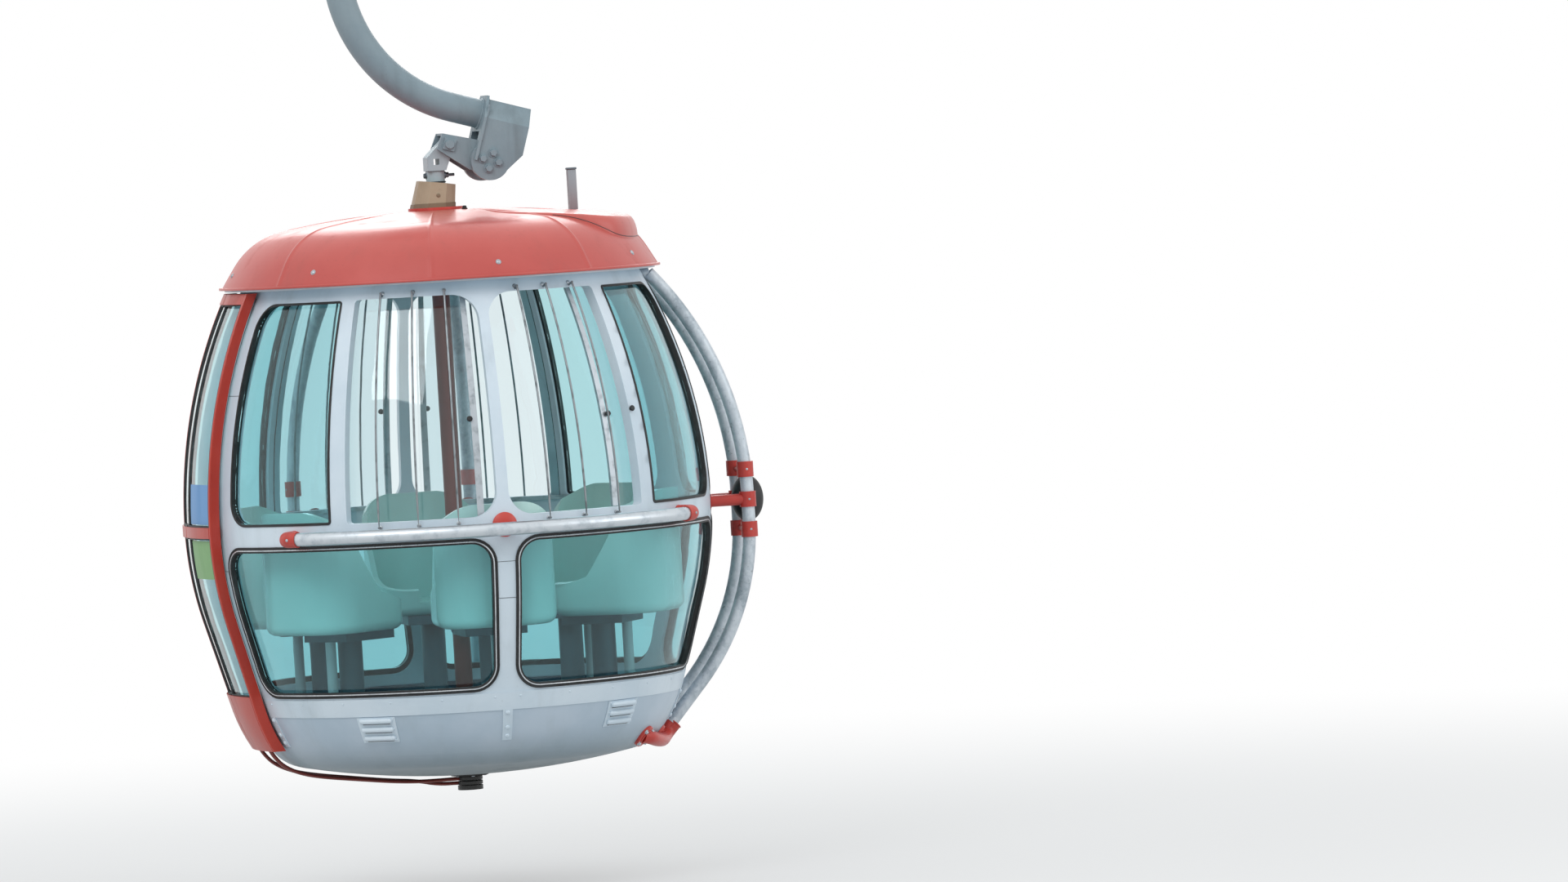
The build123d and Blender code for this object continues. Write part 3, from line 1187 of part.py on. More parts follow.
def make_spring_pack():
    """Two closing springs in their cans above the grip casting, under the friction plate."""
    return [
        bar_between((FORK_LEFT - SPRING_PROUD, y, SPRING_Z), (SPRING_END, y, SPRING_Z), SPRING_RADIUS)
        for y in (-GRIP_LENGTH / 4, GRIP_LENGTH / 4)
    ]


def make_friction_plate():
    """Flat plate on top, which the station's tyres drive."""
    x = (FORK_LEFT + SPRING_END) / 2
    plate = Pos(x, 0, PLATE_Z) * Box(*PLATE_SIZE, align=(Align.CENTER, Align.CENTER, Align.MIN))
    plate = fillet(plate.edges().filter_by(Axis.Z), PLATE_CORNER)
    low_z = ROPE_HEIGHT + CASTING_TOP
    stand = Pos(x, 0, low_z) * Box(
        *STAND_SIZE, PLATE_Z - low_z, align=(Align.CENTER, Align.CENTER, Align.MIN))
    return plate + stand


def save(name, shape):
    """Lower a finished piece to the rope's frame and write it."""
    if isinstance(shape, (list, tuple)):
        solids = [solid for piece in shape for solid in piece.solids()]
        shape = Compound(children=solids)
    placed = Pos(0, 0, -ROPE_HEIGHT) * shape
    placed.label = name
    export_step(placed, f"parts/{name}.step")


def save_pair(name, shape):
    """Write a piece of side A and its mirror image on side B."""
    pieces = shape if isinstance(shape, (list, tuple)) else [shape]
    save(name + "_a", pieces)
    save(name + "_b", [both_sides(piece) for piece in pieces])


def main():
    """Make every piece and write it."""
    os.makedirs("parts", exist_ok=True)
    save("hull", make_hull())
    save("floor", make_floor())
    plates = [make_skirt()] + make_louvres()
    save("hull_plates", plates + mirrored(plates))

    wall, panes, seals = wall_with_windows(SIDE_WINDOWS, NEAR_SIDE, SIDE_HALF)
    save_pair("side_frame", wall)
    save_pair("fixed_panes", panes)
    end_wall, end_panes, end_seals = wall_with_windows(END_WINDOWS, 0, 90 - SIDE_HALF)
    save("end_frame", end_wall)
    save("end_panes", end_panes)
    save("window_seals", seals + mirrored(seals) + end_seals)
    portal = shell(0, -WALL, HULL_TOP_Z, FRAME_TOP_Z, 180 - DOOR_HALF, 180 + DOOR_HALF)
    portal -= window_block(
        180 - DOOR_HALF + PORTAL_POST, 180 + DOOR_HALF - PORTAL_POST, DOOR_SILL_Z, DOOR_HEAD_Z,
        LEAF_CORNER, LEAF_CORNER)
    save("door_portal", portal)

    rails = window_rails()
    save("window_rails", rails + mirrored(rails))
    near_free, near_toward = NEAR_SIDE - NEAR_OPENING, -1
    open_edge = NEAR_SIDE + OPEN_WINDOW_ANGLE
    closed_glass, closed_stile = sliding_window(near_free, near_toward)
    open_glass, open_stile = sliding_window(open_edge, 1)
    save("sliding_panes_a", [closed_glass, open_glass])
    other_glass, other_stile = sliding_window(NEAR_SIDE + NEAR_OPENING, 1)
    save("sliding_panes_b", [both_sides(closed_glass), both_sides(other_glass)])
    save("pane_stiles", [closed_stile, open_stile] + mirrored([closed_stile, other_stile]))
    bars = [window_bar(NEAR_SIDE + side * angle) for side in (-1, 1) for angle in BAR_ANGLES]
    core = body_core()
    bars = [bar - core for bar in bars]
    save("window_bars", bars + mirrored(bars))

    save("roof_shell", make_roof())
    save("cantrail", make_cantrail())
    save("roof_cover", make_cover())
    save("roof_post", make_roof_post())

    frame, leaf_panes, rubbers = make_leaf()
    save("door_leaf_a", frame)
    save("door_glass_a", leaf_panes)
    save("door_rubber_a", rubbers)
    save("door_leaf_b", both_sides(frame))
    save("door_glass_b", mirrored(leaf_panes))
    save("door_rubber_b", mirrored(rubbers))
    save("door_arm_a", make_leaf_arm(arm_collar_top(1)))
    save("door_arm_b", both_sides(make_leaf_arm(arm_collar_top(0))))
    save("door_hub", make_hub())

    belt_pipe, belt_fittings = make_belt_guard()
    save("belt_pipe", belt_pipe)
    save("belt_fittings", belt_fittings)
    pipes, fittings = [], []
    for y, hook in ((-END_PIPE_SPREAD, -1), (END_PIPE_SPREAD, 1)):
        pipe, pieces = upright_guard(y, hook)
        pipes.append(pipe)
        fittings += pieces
    save("end_pipes", pipes)
    save("end_fittings", fittings)
    pipes, fittings = [], []
    for angle, hook in ((FAR_PIPE_ANGLES[0], -1), (FAR_PIPE_ANGLES[1], 1)):
        pipe, pieces = upright_guard(0, hook)
        pipes.append(Rot(0, 0, angle) * pipe)
        fittings += [Rot(0, 0, angle) * piece for piece in pieces]
    save("far_pipes", pipes)
    save("far_fittings", fittings)
    plate, rubber = make_buffer()
    save("buffer_mount", plate)
    save("buffer", rubber)

    seat = make_seat()
    column, bracket, tube = make_seat_support()
    turns = [90 + SEAT_SWING * step for step in (-1, 0, 1)]
    save_pair("seats", [Rot(0, 0, turn) * seat for turn in turns])
    for name, piece in (("seat_columns", column), ("seat_brackets", bracket), ("seat_tubes", tube)):
        pieces = [Rot(0, 0, turn) * piece for turn in turns]
        save(name, pieces + mirrored(pieces))
    save("middle_pole", make_pole())

    mount, ring = make_roof_mount()
    save("roof_mount", mount)
    save("mount_ring", ring)
    save("clevis", make_clevis())
    save("lever", make_lever())
    neck = make_neck()
    save("suspension_housing", make_damper())
    save("hanger_neck", neck)
    save("hanger_mast", make_mast())
    save("hanger_head", make_head())

    save("grip_body", make_grip_body())
    save("grip_jaw", make_grip_jaw())
    save("grip_axles", make_axles())
    save("wheel_near", make_wheel(-WHEEL_SPACING / 2))
    save("wheel_far", make_wheel(WHEEL_SPACING / 2))
    save("spring_cans", make_spring_pack())
    save("friction_plate", make_friction_plate())


main()
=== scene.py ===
"""Looks of the globe-shaped cable car cabin: finishes, small fittings, floor, light and camera.

Metres and degrees. The origin is on the rope's axis, Z is up, the door faces -X and the buffer +X.
Heights called rise are counted up from the hull's lowest point. An angle called turn is counted
about the upright axis from the middle of side A (-Y) towards +X. Colours are written as they look on
a screen, 0 to 255.
"""
import bpy
from math import atan2, copysign, cos, degrees, exp, pi, radians, sin, sqrt, tan
from mathutils import Matrix, Vector


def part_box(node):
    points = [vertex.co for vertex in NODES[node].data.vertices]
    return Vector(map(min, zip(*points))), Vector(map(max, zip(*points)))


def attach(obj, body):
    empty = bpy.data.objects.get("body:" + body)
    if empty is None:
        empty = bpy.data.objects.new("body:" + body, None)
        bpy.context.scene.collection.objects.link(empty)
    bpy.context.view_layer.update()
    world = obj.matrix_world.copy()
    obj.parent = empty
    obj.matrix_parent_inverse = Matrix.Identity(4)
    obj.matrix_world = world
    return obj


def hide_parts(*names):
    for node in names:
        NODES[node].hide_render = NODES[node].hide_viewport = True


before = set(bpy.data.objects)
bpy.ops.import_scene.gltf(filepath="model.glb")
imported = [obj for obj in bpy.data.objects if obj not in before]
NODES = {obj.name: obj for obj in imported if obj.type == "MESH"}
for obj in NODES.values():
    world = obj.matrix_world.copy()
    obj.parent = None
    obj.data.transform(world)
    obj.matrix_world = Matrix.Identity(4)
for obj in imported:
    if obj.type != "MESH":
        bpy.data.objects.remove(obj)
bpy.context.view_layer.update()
HULL_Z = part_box("hull")[0].z
BOTH = (-1, 1)
UP = (0, 0, 1)

# Body of revolution, as the solids have it
BODY_RADIUS = 0.953
BELT_RISE = 0.970
UPPER_ARC = 1.850
LOWER_ARC = 1.250
LOWER_SLOPE = 16.0
HULL_TOP_RISE = 0.308
HULL_ARC = 0.550

# Sides: turns of their middles, ends and windows' edges, then the lower windows' rises and sizes
MIDDLES = (0.0, 180.0)
SIDE_HALF = 75.0
UPPER_EDGE = 69.5
LOWER_EDGE = 72.6
LOWER_MULLION = 2.1
LOWER_SILL = 0.346
LOWER_HEAD = 0.907
END_HALF = 11.5
BIG_CORNER = 0.092
LOWER_SEAL = 0.020

# Camera, solved for a level camera whose picture is turned and cut
CAMERA_AZIMUTH = -10.9
CAMERA_DISTANCE = 35.0
CAMERA_RISE = 2.28
CAMERA_ROLL = 3.4
FOCAL_PIXELS = 11550.0
PICTURE = (1920.0, 1080.0)
LEVEL_POINT = (530.0, 195.6)
SENSOR = 36.0
CLIP_END = 200.0

# Stage
FLOOR_DROP = 0.42
FLOOR_SIZE = 120.0
FLOOR_FADE = (5.6, 11.0)
# Rays that find the floor and the background white, as the eye does
SEEN_RAYS = ("Is Camera Ray", "Is Glossy Ray", "Is Transmission Ray")
FLOOR_WHITE = 0.45
FLOOR_PALE = (0.52, 0.54, 0.55, 1.0)
WHITE = (1.0, 1.0, 1.0, 1.0)
SKY_LOW, SKY_GAIN = 0.24, 0.86
SKY_SPAN = (-0.25, 0.9)
LAMP_SIZE = 5.0
LAMP_TARGET = 1.2
LAMPS = (
    # name, place over the hull's lowest point, watts
    ("key", (-5.5, -7.5, 8.5), 330.0),
    ("fill", (7.0, -5.0, 3.5), 110.0),
    ("back", (2.0, 8.0, 6.0), 240.0),
)


def shade(red, green, blue):
    """Colour given as it looks on a screen, as linear light."""
    def linear(part):
        part = part / 255.0
        return part / 12.92 if part <= 0.04045 else ((part + 0.055) / 1.055) ** 2.4
    return (linear(red), linear(green), linear(blue), 1.0)


class Level:
    """A number that varies over a surface. Its operators add Math nodes."""

    def __init__(self, finish, socket):
        self.finish = finish
        self.socket = socket

    def math(self, operation, first, second=0.0, clamp=False):
        """What a Math node makes of two numbers, either of which may vary."""
        node = self.finish.node(
            "ShaderNodeMath", {"operation": operation, "use_clamp": clamp}, {0: first, 1: second})
        return Level(self.finish, node.outputs[0])

    def __add__(self, other):
        return self.math("ADD", self, other)

    def __radd__(self, other):
        return self.math("ADD", other, self)

    def __sub__(self, other):
        return self.math("SUBTRACT", self, other)

    def __rsub__(self, other):
        return self.math("SUBTRACT", other, self)

    def __mul__(self, other):
        return self.math("MULTIPLY", self, other)

    def __rmul__(self, other):
        return self.math("MULTIPLY", other, self)

    def clipped(self):
        """The same number kept between 0 and 1."""
        return self.math("ADD", self, 0.0, clamp=True)

    def step(self, low, high):
        """0 below low, 1 above high, with a soft turn between."""
        node = self.finish.node(
            "ShaderNodeMapRange", {"interpolation_type": "SMOOTHSTEP"},
            {"Value": self, "From Min": low, "From Max": high, "To Min": 0.0, "To Max": 1.0})
        return Level(self.finish, node.outputs[0])


class Finish:
    """One finish as a material. node() adds any node, the rest are shorthands for it."""

    def __init__(self, name, tree=None):
        self.material = None
        if tree is None:
            self.material = bpy.data.materials.new(name)
            self.material.use_nodes = True
            tree = self.material.node_tree
        self.tree = tree
        self.tree.nodes.clear()
        self.coordinates = None

    def node(self, kind, settings=None, values=None):
        """Node of a type, with its settings made first and then its sockets filled or linked."""
        node = self.tree.nodes.new(kind)
        for key, value in (settings or {}).items():
            setattr(node, key, value)
        for key, value in (values or {}).items():
            if isinstance(value, Level):
                value = value.socket
            if isinstance(value, bpy.types.NodeSocket):
                self.tree.links.new(value, node.inputs[key])
            else:
                node.inputs[key].default_value = value
        return node

    def place(self, drop=1.0):
        """Position in the model's own metres, drawn out along Z where drop is below 1."""
        if self.coordinates is None:
            self.coordinates = self.node("ShaderNodeTexCoord").outputs["Object"]
        if drop == 1.0:
            return self.coordinates
        node = self.node(
            "ShaderNodeVectorMath", {"operation": "MULTIPLY"}, {0: self.coordinates, 1: (1.0, 1.0, drop)})
        return node.outputs[0]

    def height(self):
        """Height over the rope's axis."""
        node = self.node("ShaderNodeSeparateXYZ", None, {0: self.place()})
        return Level(self, node.outputs["Z"])

    def noise(self, scale, detail=3.0, rough=0.55, drop=1.0):
        """Soft cloudy noise around a half."""
        node = self.node(
            "ShaderNodeTexNoise", None,
            {"Vector": self.place(drop), "Scale": scale, "Detail": detail, "Roughness": rough})
        return Level(self, node.outputs[0])

    def cloud(self, scale, detail, rough, low, high, drop=1.0):
        """Mask of soft patches, or of runs down the surface where drop is below 1."""
        return self.noise(scale, detail, rough, drop).step(low, high)

    def relief(self, coarse, fine, share):
        """Height of a skin with coarse waves and fine grain, share of it coarse."""
        return self.noise(coarse, 3.0) * share + self.noise(fine, 2.0) * (1.0 - share)

    def cells(self, scale):
        """One random number for each cell, as in zinc spangle."""
        node = self.node("ShaderNodeTexVoronoi", None, {"Vector": self.place(), "Scale": scale})
        parts = self.node("ShaderNodeSeparateColor", None, {0: node.outputs["Color"]})
        return Level(self, parts.outputs[0])

    def layers(self, colour, *layers):
        """Colour with others laid over it in turn, each a mask and a colour."""
        base = shade(*colour)
        for mask, over in layers:
            node = self.node("ShaderNodeMix", {"data_type": "RGBA"}, {0: mask, 6: base, 7: shade(*over)})
            base = node.outputs[2]
        return base

    def bump(self, height, depth):
        """Surface relief from a height between 0 and 1, depth metres deep."""
        return self.node("ShaderNodeBump", None, {"Height": height, "Distance": depth}).outputs[0]

    def shader(self, **sockets):
        """Principled shader. Names use _ for a space."""
        values = {name.replace("_", " "): value for name, value in sockets.items()}
        return self.node("ShaderNodeBsdfPrincipled", None, values)

    def close(self, shader):
        """Ends the material with a shader."""
        self.node("ShaderNodeOutputMaterial", None, {"Surface": shader.outputs[0]})
        return self.material

    def blend(self, factor, first, second):
        """Ends the material with one shader where factor is 0 and the other where it is 1."""
        return self.close(self.node(
            "ShaderNodeMixShader", None, {0: factor, 1: first.outputs[0], 2: second.outputs[0]}))

    def surface(self, **sockets):
        """Ends the material with a Principled shader."""
        return self.close(self.shader(**sockets))


def painted(name, colour, faded, dirt, rough, streaks=0.25, grain=0.0004):
    """Paint on metal or moulding: faded patches, grime that ran down, a fine skin of grain."""
    finish = Finish(name)
    patches = finish.cloud(2.6, 5.0, 0.6, 0.35, 0.7)
    runs = finish.cloud(9.0, 4.0, 0.6, 0.48, 0.75, 0.13)
    specks = finish.cloud(85.0, 3.0, 0.7, 0.62, 0.75)
    base = finish.layers(colour, (patches, faded), (runs * streaks, dirt), (specks * (streaks * 0.6), dirt))
    return finish.surface(
        Base_Color=base, Roughness=(rough + patches * 0.08 + runs * 0.12).clipped(),
        Normal=finish.bump(finish.relief(38.0, 320.0, 0.6), grain))


def roof_finish():
    """Salmon-red moulded roof with grime runs, lighter on the crown: a painted highlight of the sky's
    reflection, with sun-bleaching.
    """
    finish = Finish("roof_salmon")
    # Painted highlight: the crown mask lightens the roof's top, standing in for the sky's reflection along
    # with sun-bleaching
    crown = finish.height().step(HULL_Z + 1.86, HULL_Z + 2.08)
    patches = finish.cloud(2.2, 5.0, 0.6, 0.3, 0.72)
    runs = finish.cloud(7.0, 5.0, 0.65, 0.5, 0.78, 0.2)
    specks = finish.cloud(60.0, 4.0, 0.7, 0.6, 0.74)
    base = finish.layers(
        (184, 74, 68), (patches, (194, 86, 80)), (crown * 0.5, (204, 108, 100)),
        (runs * 0.3, (150, 84, 78)), (specks * 0.2, (120, 70, 64)))
    return finish.surface(
        Base_Color=base, Roughness=(0.3 + patches * 0.08 + runs * 0.2).clipped(), Coat_Weight=0.08,
        Normal=finish.bump(finish.relief(16.0, 240.0, 0.7), 0.0005))


def hull_finish():
    """Pale hull paint with grime runs, darker and greener towards the bottom: painted shade and a painted
    reflection of greenery.
    """
    finish = Finish("hull_paint")
    # Painted shade: low is 1 at the hull's bottom, where its layer lays a dark green standing in for shade
    # and reflected greenery
    low = 1.0 - finish.height().step(HULL_Z - 0.01, HULL_Z + 0.21)
    patches = finish.cloud(3.0, 5.0, 0.6, 0.35, 0.7)
    runs = finish.cloud(8.0, 5.0, 0.6, 0.5, 0.78, 0.18)
    # The last layer is the painted shade and painted green reflection towards the bottom
    base = finish.layers(
        (178, 197, 212), (patches, (190, 206, 220)),
        (runs * 0.14, (132, 142, 138)), (low * 0.85, (90, 106, 106)))
    return finish.surface(
        Base_Color=base, Roughness=(0.36 + runs * 0.15 + low * 0.15).clipped(),
        Normal=finish.bump(finish.relief(24.0, 300.0, 0.7), 0.0008))


def zinc_finish():
    """Dull hot-dip zinc: spangle, drips along the pipe and darker rubbed spots."""
    finish = Finish("pipe_zinc")
    spangle = finish.cells(95.0)
    clouds = finish.cloud(14.0, 5.0, 0.65, 0.35, 0.7, 0.45)
    spots = finish.cloud(48.0, 4.0, 0.7, 0.6, 0.72)
    base = finish.layers(
        (198, 208, 216), (clouds, (148, 162, 172)),
        (spangle * 0.25, (230, 236, 240)), (spots * 0.6, (104, 114, 120)))
    relief = finish.noise(70.0, 4.0, 0.6) * 0.7 + spangle * 0.3
    return finish.surface(
        Base_Color=base, Metallic=0.35, Roughness=(0.42 + clouds * 0.15 + spots * 0.15).clipped(),
        Normal=finish.bump(relief, 0.0009))


def steel_finish(name, pale, dark, rough):
    """Plain bright steel with fine rubbing marks and a few dull stains."""
    finish = Finish(name)
    stains = finish.cloud(22.0, 4.0, 0.6, 0.45, 0.75)
    marks = finish.noise(160.0, 3.0, 0.6, 0.1)
    return finish.surface(
        Base_Color=finish.layers(pale, (stains, dark)), Metallic=0.85,
        Roughness=(rough + marks * 0.12 + stains * 0.15).clipped(), Normal=finish.bump(marks, 0.0002))


def rubber_finish(name, colour, dusty):
    """Black rubber with a bloom of dust."""
    finish = Finish(name)
    dust = finish.cloud(12.0, 5.0, 0.65, 0.45, 0.8)
    return finish.surface(
        Base_Color=finish.layers(colour, (dust * 0.5, dusty)), Roughness=(0.5 + dust * 0.25).clipped(),
        Normal=finish.bump(finish.noise(130.0, 3.0), 0.0003))


def glass_finish(name, tint, grime, let_in):
    """Tinted acrylic glass with dried rain on it. Light from lamps and walls goes straight through."""
    finish = Finish(name)
    film = finish.cloud(5.0, 5.0, 0.6, 0.5, 0.8, 0.25)
    body = finish.shader(
        Base_Color=finish.layers(tint, (film * 0.35, grime)), Roughness=(0.015 + film * 0.05).clipped(),
        IOR=1.45, Transmission_Weight=1.0, Normal=finish.bump(finish.noise(3.5, 2.0), 0.002))
    clear = finish.node("ShaderNodeBsdfTransparent", None, {"Color": shade(*let_in)})
    return finish.blend(ray_mask(finish, "Is Shadow Ray", "Is Diffuse Ray"), body, clear)


def ray_mask(finish, *kinds):
    """1 for rays of the kinds named, else 0."""
    light_path = finish.node("ShaderNodeLightPath")
    mask = Level(finish, light_path.outputs[kinds[0]])
    for kind in kinds[1:]:
        mask = mask + Level(finish, light_path.outputs[kind])
    return mask.clipped()


def seat_finish():
    """Glossy mint moulding with soft scuffs."""
    finish = Finish("seat_mint_moulding")
    scuffs = finish.cloud(30.0, 5.0, 0.7, 0.55, 0.75, 0.4)
    patches = finish.cloud(3.0, 3.0, 0.55, 0.3, 0.7)
    base = finish.layers((196, 234, 229), (patches, (206, 240, 235)), (scuffs * 0.25, (140, 180, 176)))
    return finish.surface(
        Base_Color=base, Roughness=(0.24 + scuffs * 0.2).clipped(), Coat_Weight=0.3,
        Normal=finish.bump(finish.relief(18.0, 260.0, 0.6), 0.0005))


def floor_mat_finish():
    """Dark blue studded floor covering, dusty in its hollows."""
    finish = Finish("floor_mat")
    dust = finish.cloud(6.0, 5.0, 0.6, 0.4, 0.75)
    return finish.surface(
        Base_Color=finish.layers((58, 84, 104), (dust * 0.6, (112, 126, 130))),
        Roughness=(0.6 + dust * 0.2).clipped(), Normal=finish.bump(finish.cells(70.0), 0.001))


def cast_finish():
    """Grey painted casting with a sandy skin and darker grease."""
    finish = Finish("grip_casting")
    grease = finish.cloud(9.0, 5.0, 0.65, 0.5, 0.75)
    return finish.surface(
        Base_Color=finish.layers((132, 140, 144), (grease * 0.7, (58, 58, 56))), Metallic=0.3,
        Roughness=(0.5 - grease * 0.15).clipped(), Normal=finish.bump(finish.noise(190.0, 4.0, 0.7), 0.0012))


FINISHES = {
    "roof_red": roof_finish(),
    "seat_mint": seat_finish(),
    "floor_blue": floor_mat_finish(),
    "grip_grey": cast_finish(),
    "pipe_galvanised": zinc_finish(),
    "tinted_glass": glass_finish("teal_glass", (178, 222, 227), (190, 222, 224), (232, 246, 247)),
    "clear_glass": glass_finish("clear_pane_glass", (228, 241, 244), (220, 234, 236), (244, 250, 250)),
    "seal_black": rubber_finish("seal_rubber", (22, 24, 26), (74, 80, 84)),
    "wheel_black": rubber_finish("wheel_polymer", (34, 36, 38), (88, 88, 84)),
    "channel_metal": steel_finish("channel_aluminium", (182, 190, 196), (140, 148, 154), 0.36),
    "bar_steel": steel_finish("bar_bright_steel", (138, 144, 148), (92, 98, 102), 0.26),
    "plate_steel": steel_finish("friction_plate_steel", (166, 170, 170), (118, 116, 112), 0.3),
}
PAINTS = (
    # slot, material, paint, faded paint, dirt, roughness, streaks, grain
    ("fitting_red", "fitting_red_paint", (186, 52, 44), (200, 74, 64), (96, 40, 36), 0.34, 0.45, 0.0012),
    ("door_red", "door_red_paint", (176, 48, 34), (188, 62, 46), (104, 40, 32), 0.28, 0.3),
    ("arm_red", "arm_red_paint", (116, 40, 32), (128, 52, 42), (60, 34, 30), 0.42, 0.5),
    ("body_white", "body_white_paint", (201, 218, 230), (214, 228, 238), (150, 162, 166), 0.3, 0.22),
    ("post_grey", "post_grey_paint", (150, 158, 164), (166, 172, 176), (96, 98, 98), 0.4),
    ("seat_metal", "seat_metal_paint", (86, 106, 118), (100, 120, 130), (52, 58, 60), 0.4),
    ("tube_white", "tube_white_paint", (206, 216, 220), (218, 226, 228), (150, 150, 146), 0.3),
    ("pole_brown", "pole_brown_paint", (120, 48, 42), (134, 58, 50), (70, 36, 32), 0.3),
    ("block_tan", "block_tan_moulding", (160, 146, 122), (174, 160, 136), (108, 94, 76), 0.5, 0.45, 0.0015),
    ("hanger_grey", "hanger_grey_paint", (124, 144, 154), (138, 156, 164), (84, 92, 92), 0.42, 0.35, 0.0010),
    ("hub_dark", "hub_dark_grease", (38, 38, 38), (52, 52, 50), (24, 22, 20), 0.38),
    ("spring_yellow", "spring_can_paint", (150, 154, 152), (164, 166, 162), (92, 86, 76), 0.36),
)
for paint_slot, *paint in PAINTS:
    FINISHES[paint_slot] = painted(*paint)
HULL_PAINT = hull_finish()
BELT_ZINC = steel_finish("belt_pipe_zinc", (204, 212, 218), (178, 188, 196), 0.3)
CLEVIS_PAINT = painted(
    "clevis_pale_paint", (160, 178, 186), (176, 190, 196), (104, 112, 110), 0.42, 0.35, 0.001)
BOLT_STEEL = steel_finish("bolt_zinc_steel", (178, 186, 192), (122, 128, 132), 0.34)
SHEET_BLUE = painted("blank_sheet_blue", (96, 150, 204), (110, 162, 212), (80, 120, 160), 0.45, 0.15)
SHEET_GREEN = painted("blank_sheet_green", (120, 168, 110), (134, 180, 122), (96, 130, 90), 0.45, 0.15)
STRIP_BRIGHT = steel_finish("seal_bright_strip", (206, 212, 216), (168, 176, 182), 0.22)
CYLINDER_BLUE = painted("cylinder_blue_paint", (34, 52, 84), (44, 62, 94), (26, 34, 48), 0.3)
# Dark finish for real seams between sheets, also used as painted shade under the louvre hoods and along the
# roof hood's edge
SEAM_AND_SHADE_DARK = rubber_finish("seam_sealer_and_shade", (58, 62, 66), (96, 100, 102))
HUB_STEEL = steel_finish("stub_bolt_steel", (108, 118, 126), (74, 80, 84), 0.42)
BLOCK_DARK = painted("block_foot_moulding", (116, 100, 80), (130, 114, 92), (76, 66, 54), 0.55, 0.5, 0.0015)


def dress_solids():
    """Give every solid its finish."""
    special = {"hull": HULL_PAINT, "clevis": CLEVIS_PAINT, "belt_pipe": BELT_ZINC}
    for name, node in NODES.items():
        slot = node.material_slots[0].material.name
        node.material_slots[0].material = special.get(name, FINISHES[slot])


def skin_radius(rise, off=0.0):
    """Radius of the body at a height, off metres outside its skin."""
    if rise >= BELT_RISE:
        return BODY_RADIUS - UPPER_ARC + sqrt((UPPER_ARC + off) ** 2 - (rise - BELT_RISE) ** 2)
    slope = radians(LOWER_SLOPE)
    arc = LOWER_ARC + off
    tangent = BELT_RISE - arc * sin(slope)
    if rise >= tangent:
        return BODY_RADIUS - LOWER_ARC + sqrt(arc ** 2 - (rise - BELT_RISE) ** 2)
    if rise >= HULL_TOP_RISE:
        return BODY_RADIUS - LOWER_ARC + arc * cos(slope) - (tangent - rise) * tan(slope)
    centre = skin_radius(HULL_TOP_RISE) - HULL_ARC * cos(slope)
    level = HULL_TOP_RISE + HULL_ARC * sin(slope)
    return centre + sqrt((HULL_ARC + off) ** 2 - (rise - level) ** 2)


def round_axis(turn, radius, rise):
    """Point at a turn from the middle of side A, at a radius and a height over the hull's bottom."""
    return Vector((radius * sin(radians(turn)), -radius * cos(radians(turn)), HULL_Z + rise))


def on_skin(turn, rise, off=0.0):
    """Point that stands off the body's skin."""
    return round_axis(turn, skin_radius(rise, off), rise)


def skin_normal(turn, rise):
    """Direction straight out of the skin."""
    step = 0.002
    lean = (skin_radius(rise - step) - skin_radius(rise + step)) / (2 * step)
    return Vector((sin(radians(turn)), -cos(radians(turn)), lean)).normalized()


def circle(sides, start=0.0):
    """Angles of points spread evenly round a circle."""
    return [start + 2 * pi * step / sides for step in range(sides)]


def placed(name, data):
    """Object in the scene that holds a mesh, a lamp or a camera."""
    thing = bpy.data.objects.new(name, data)
    bpy.context.scene.collection.objects.link(thing)
    return thing


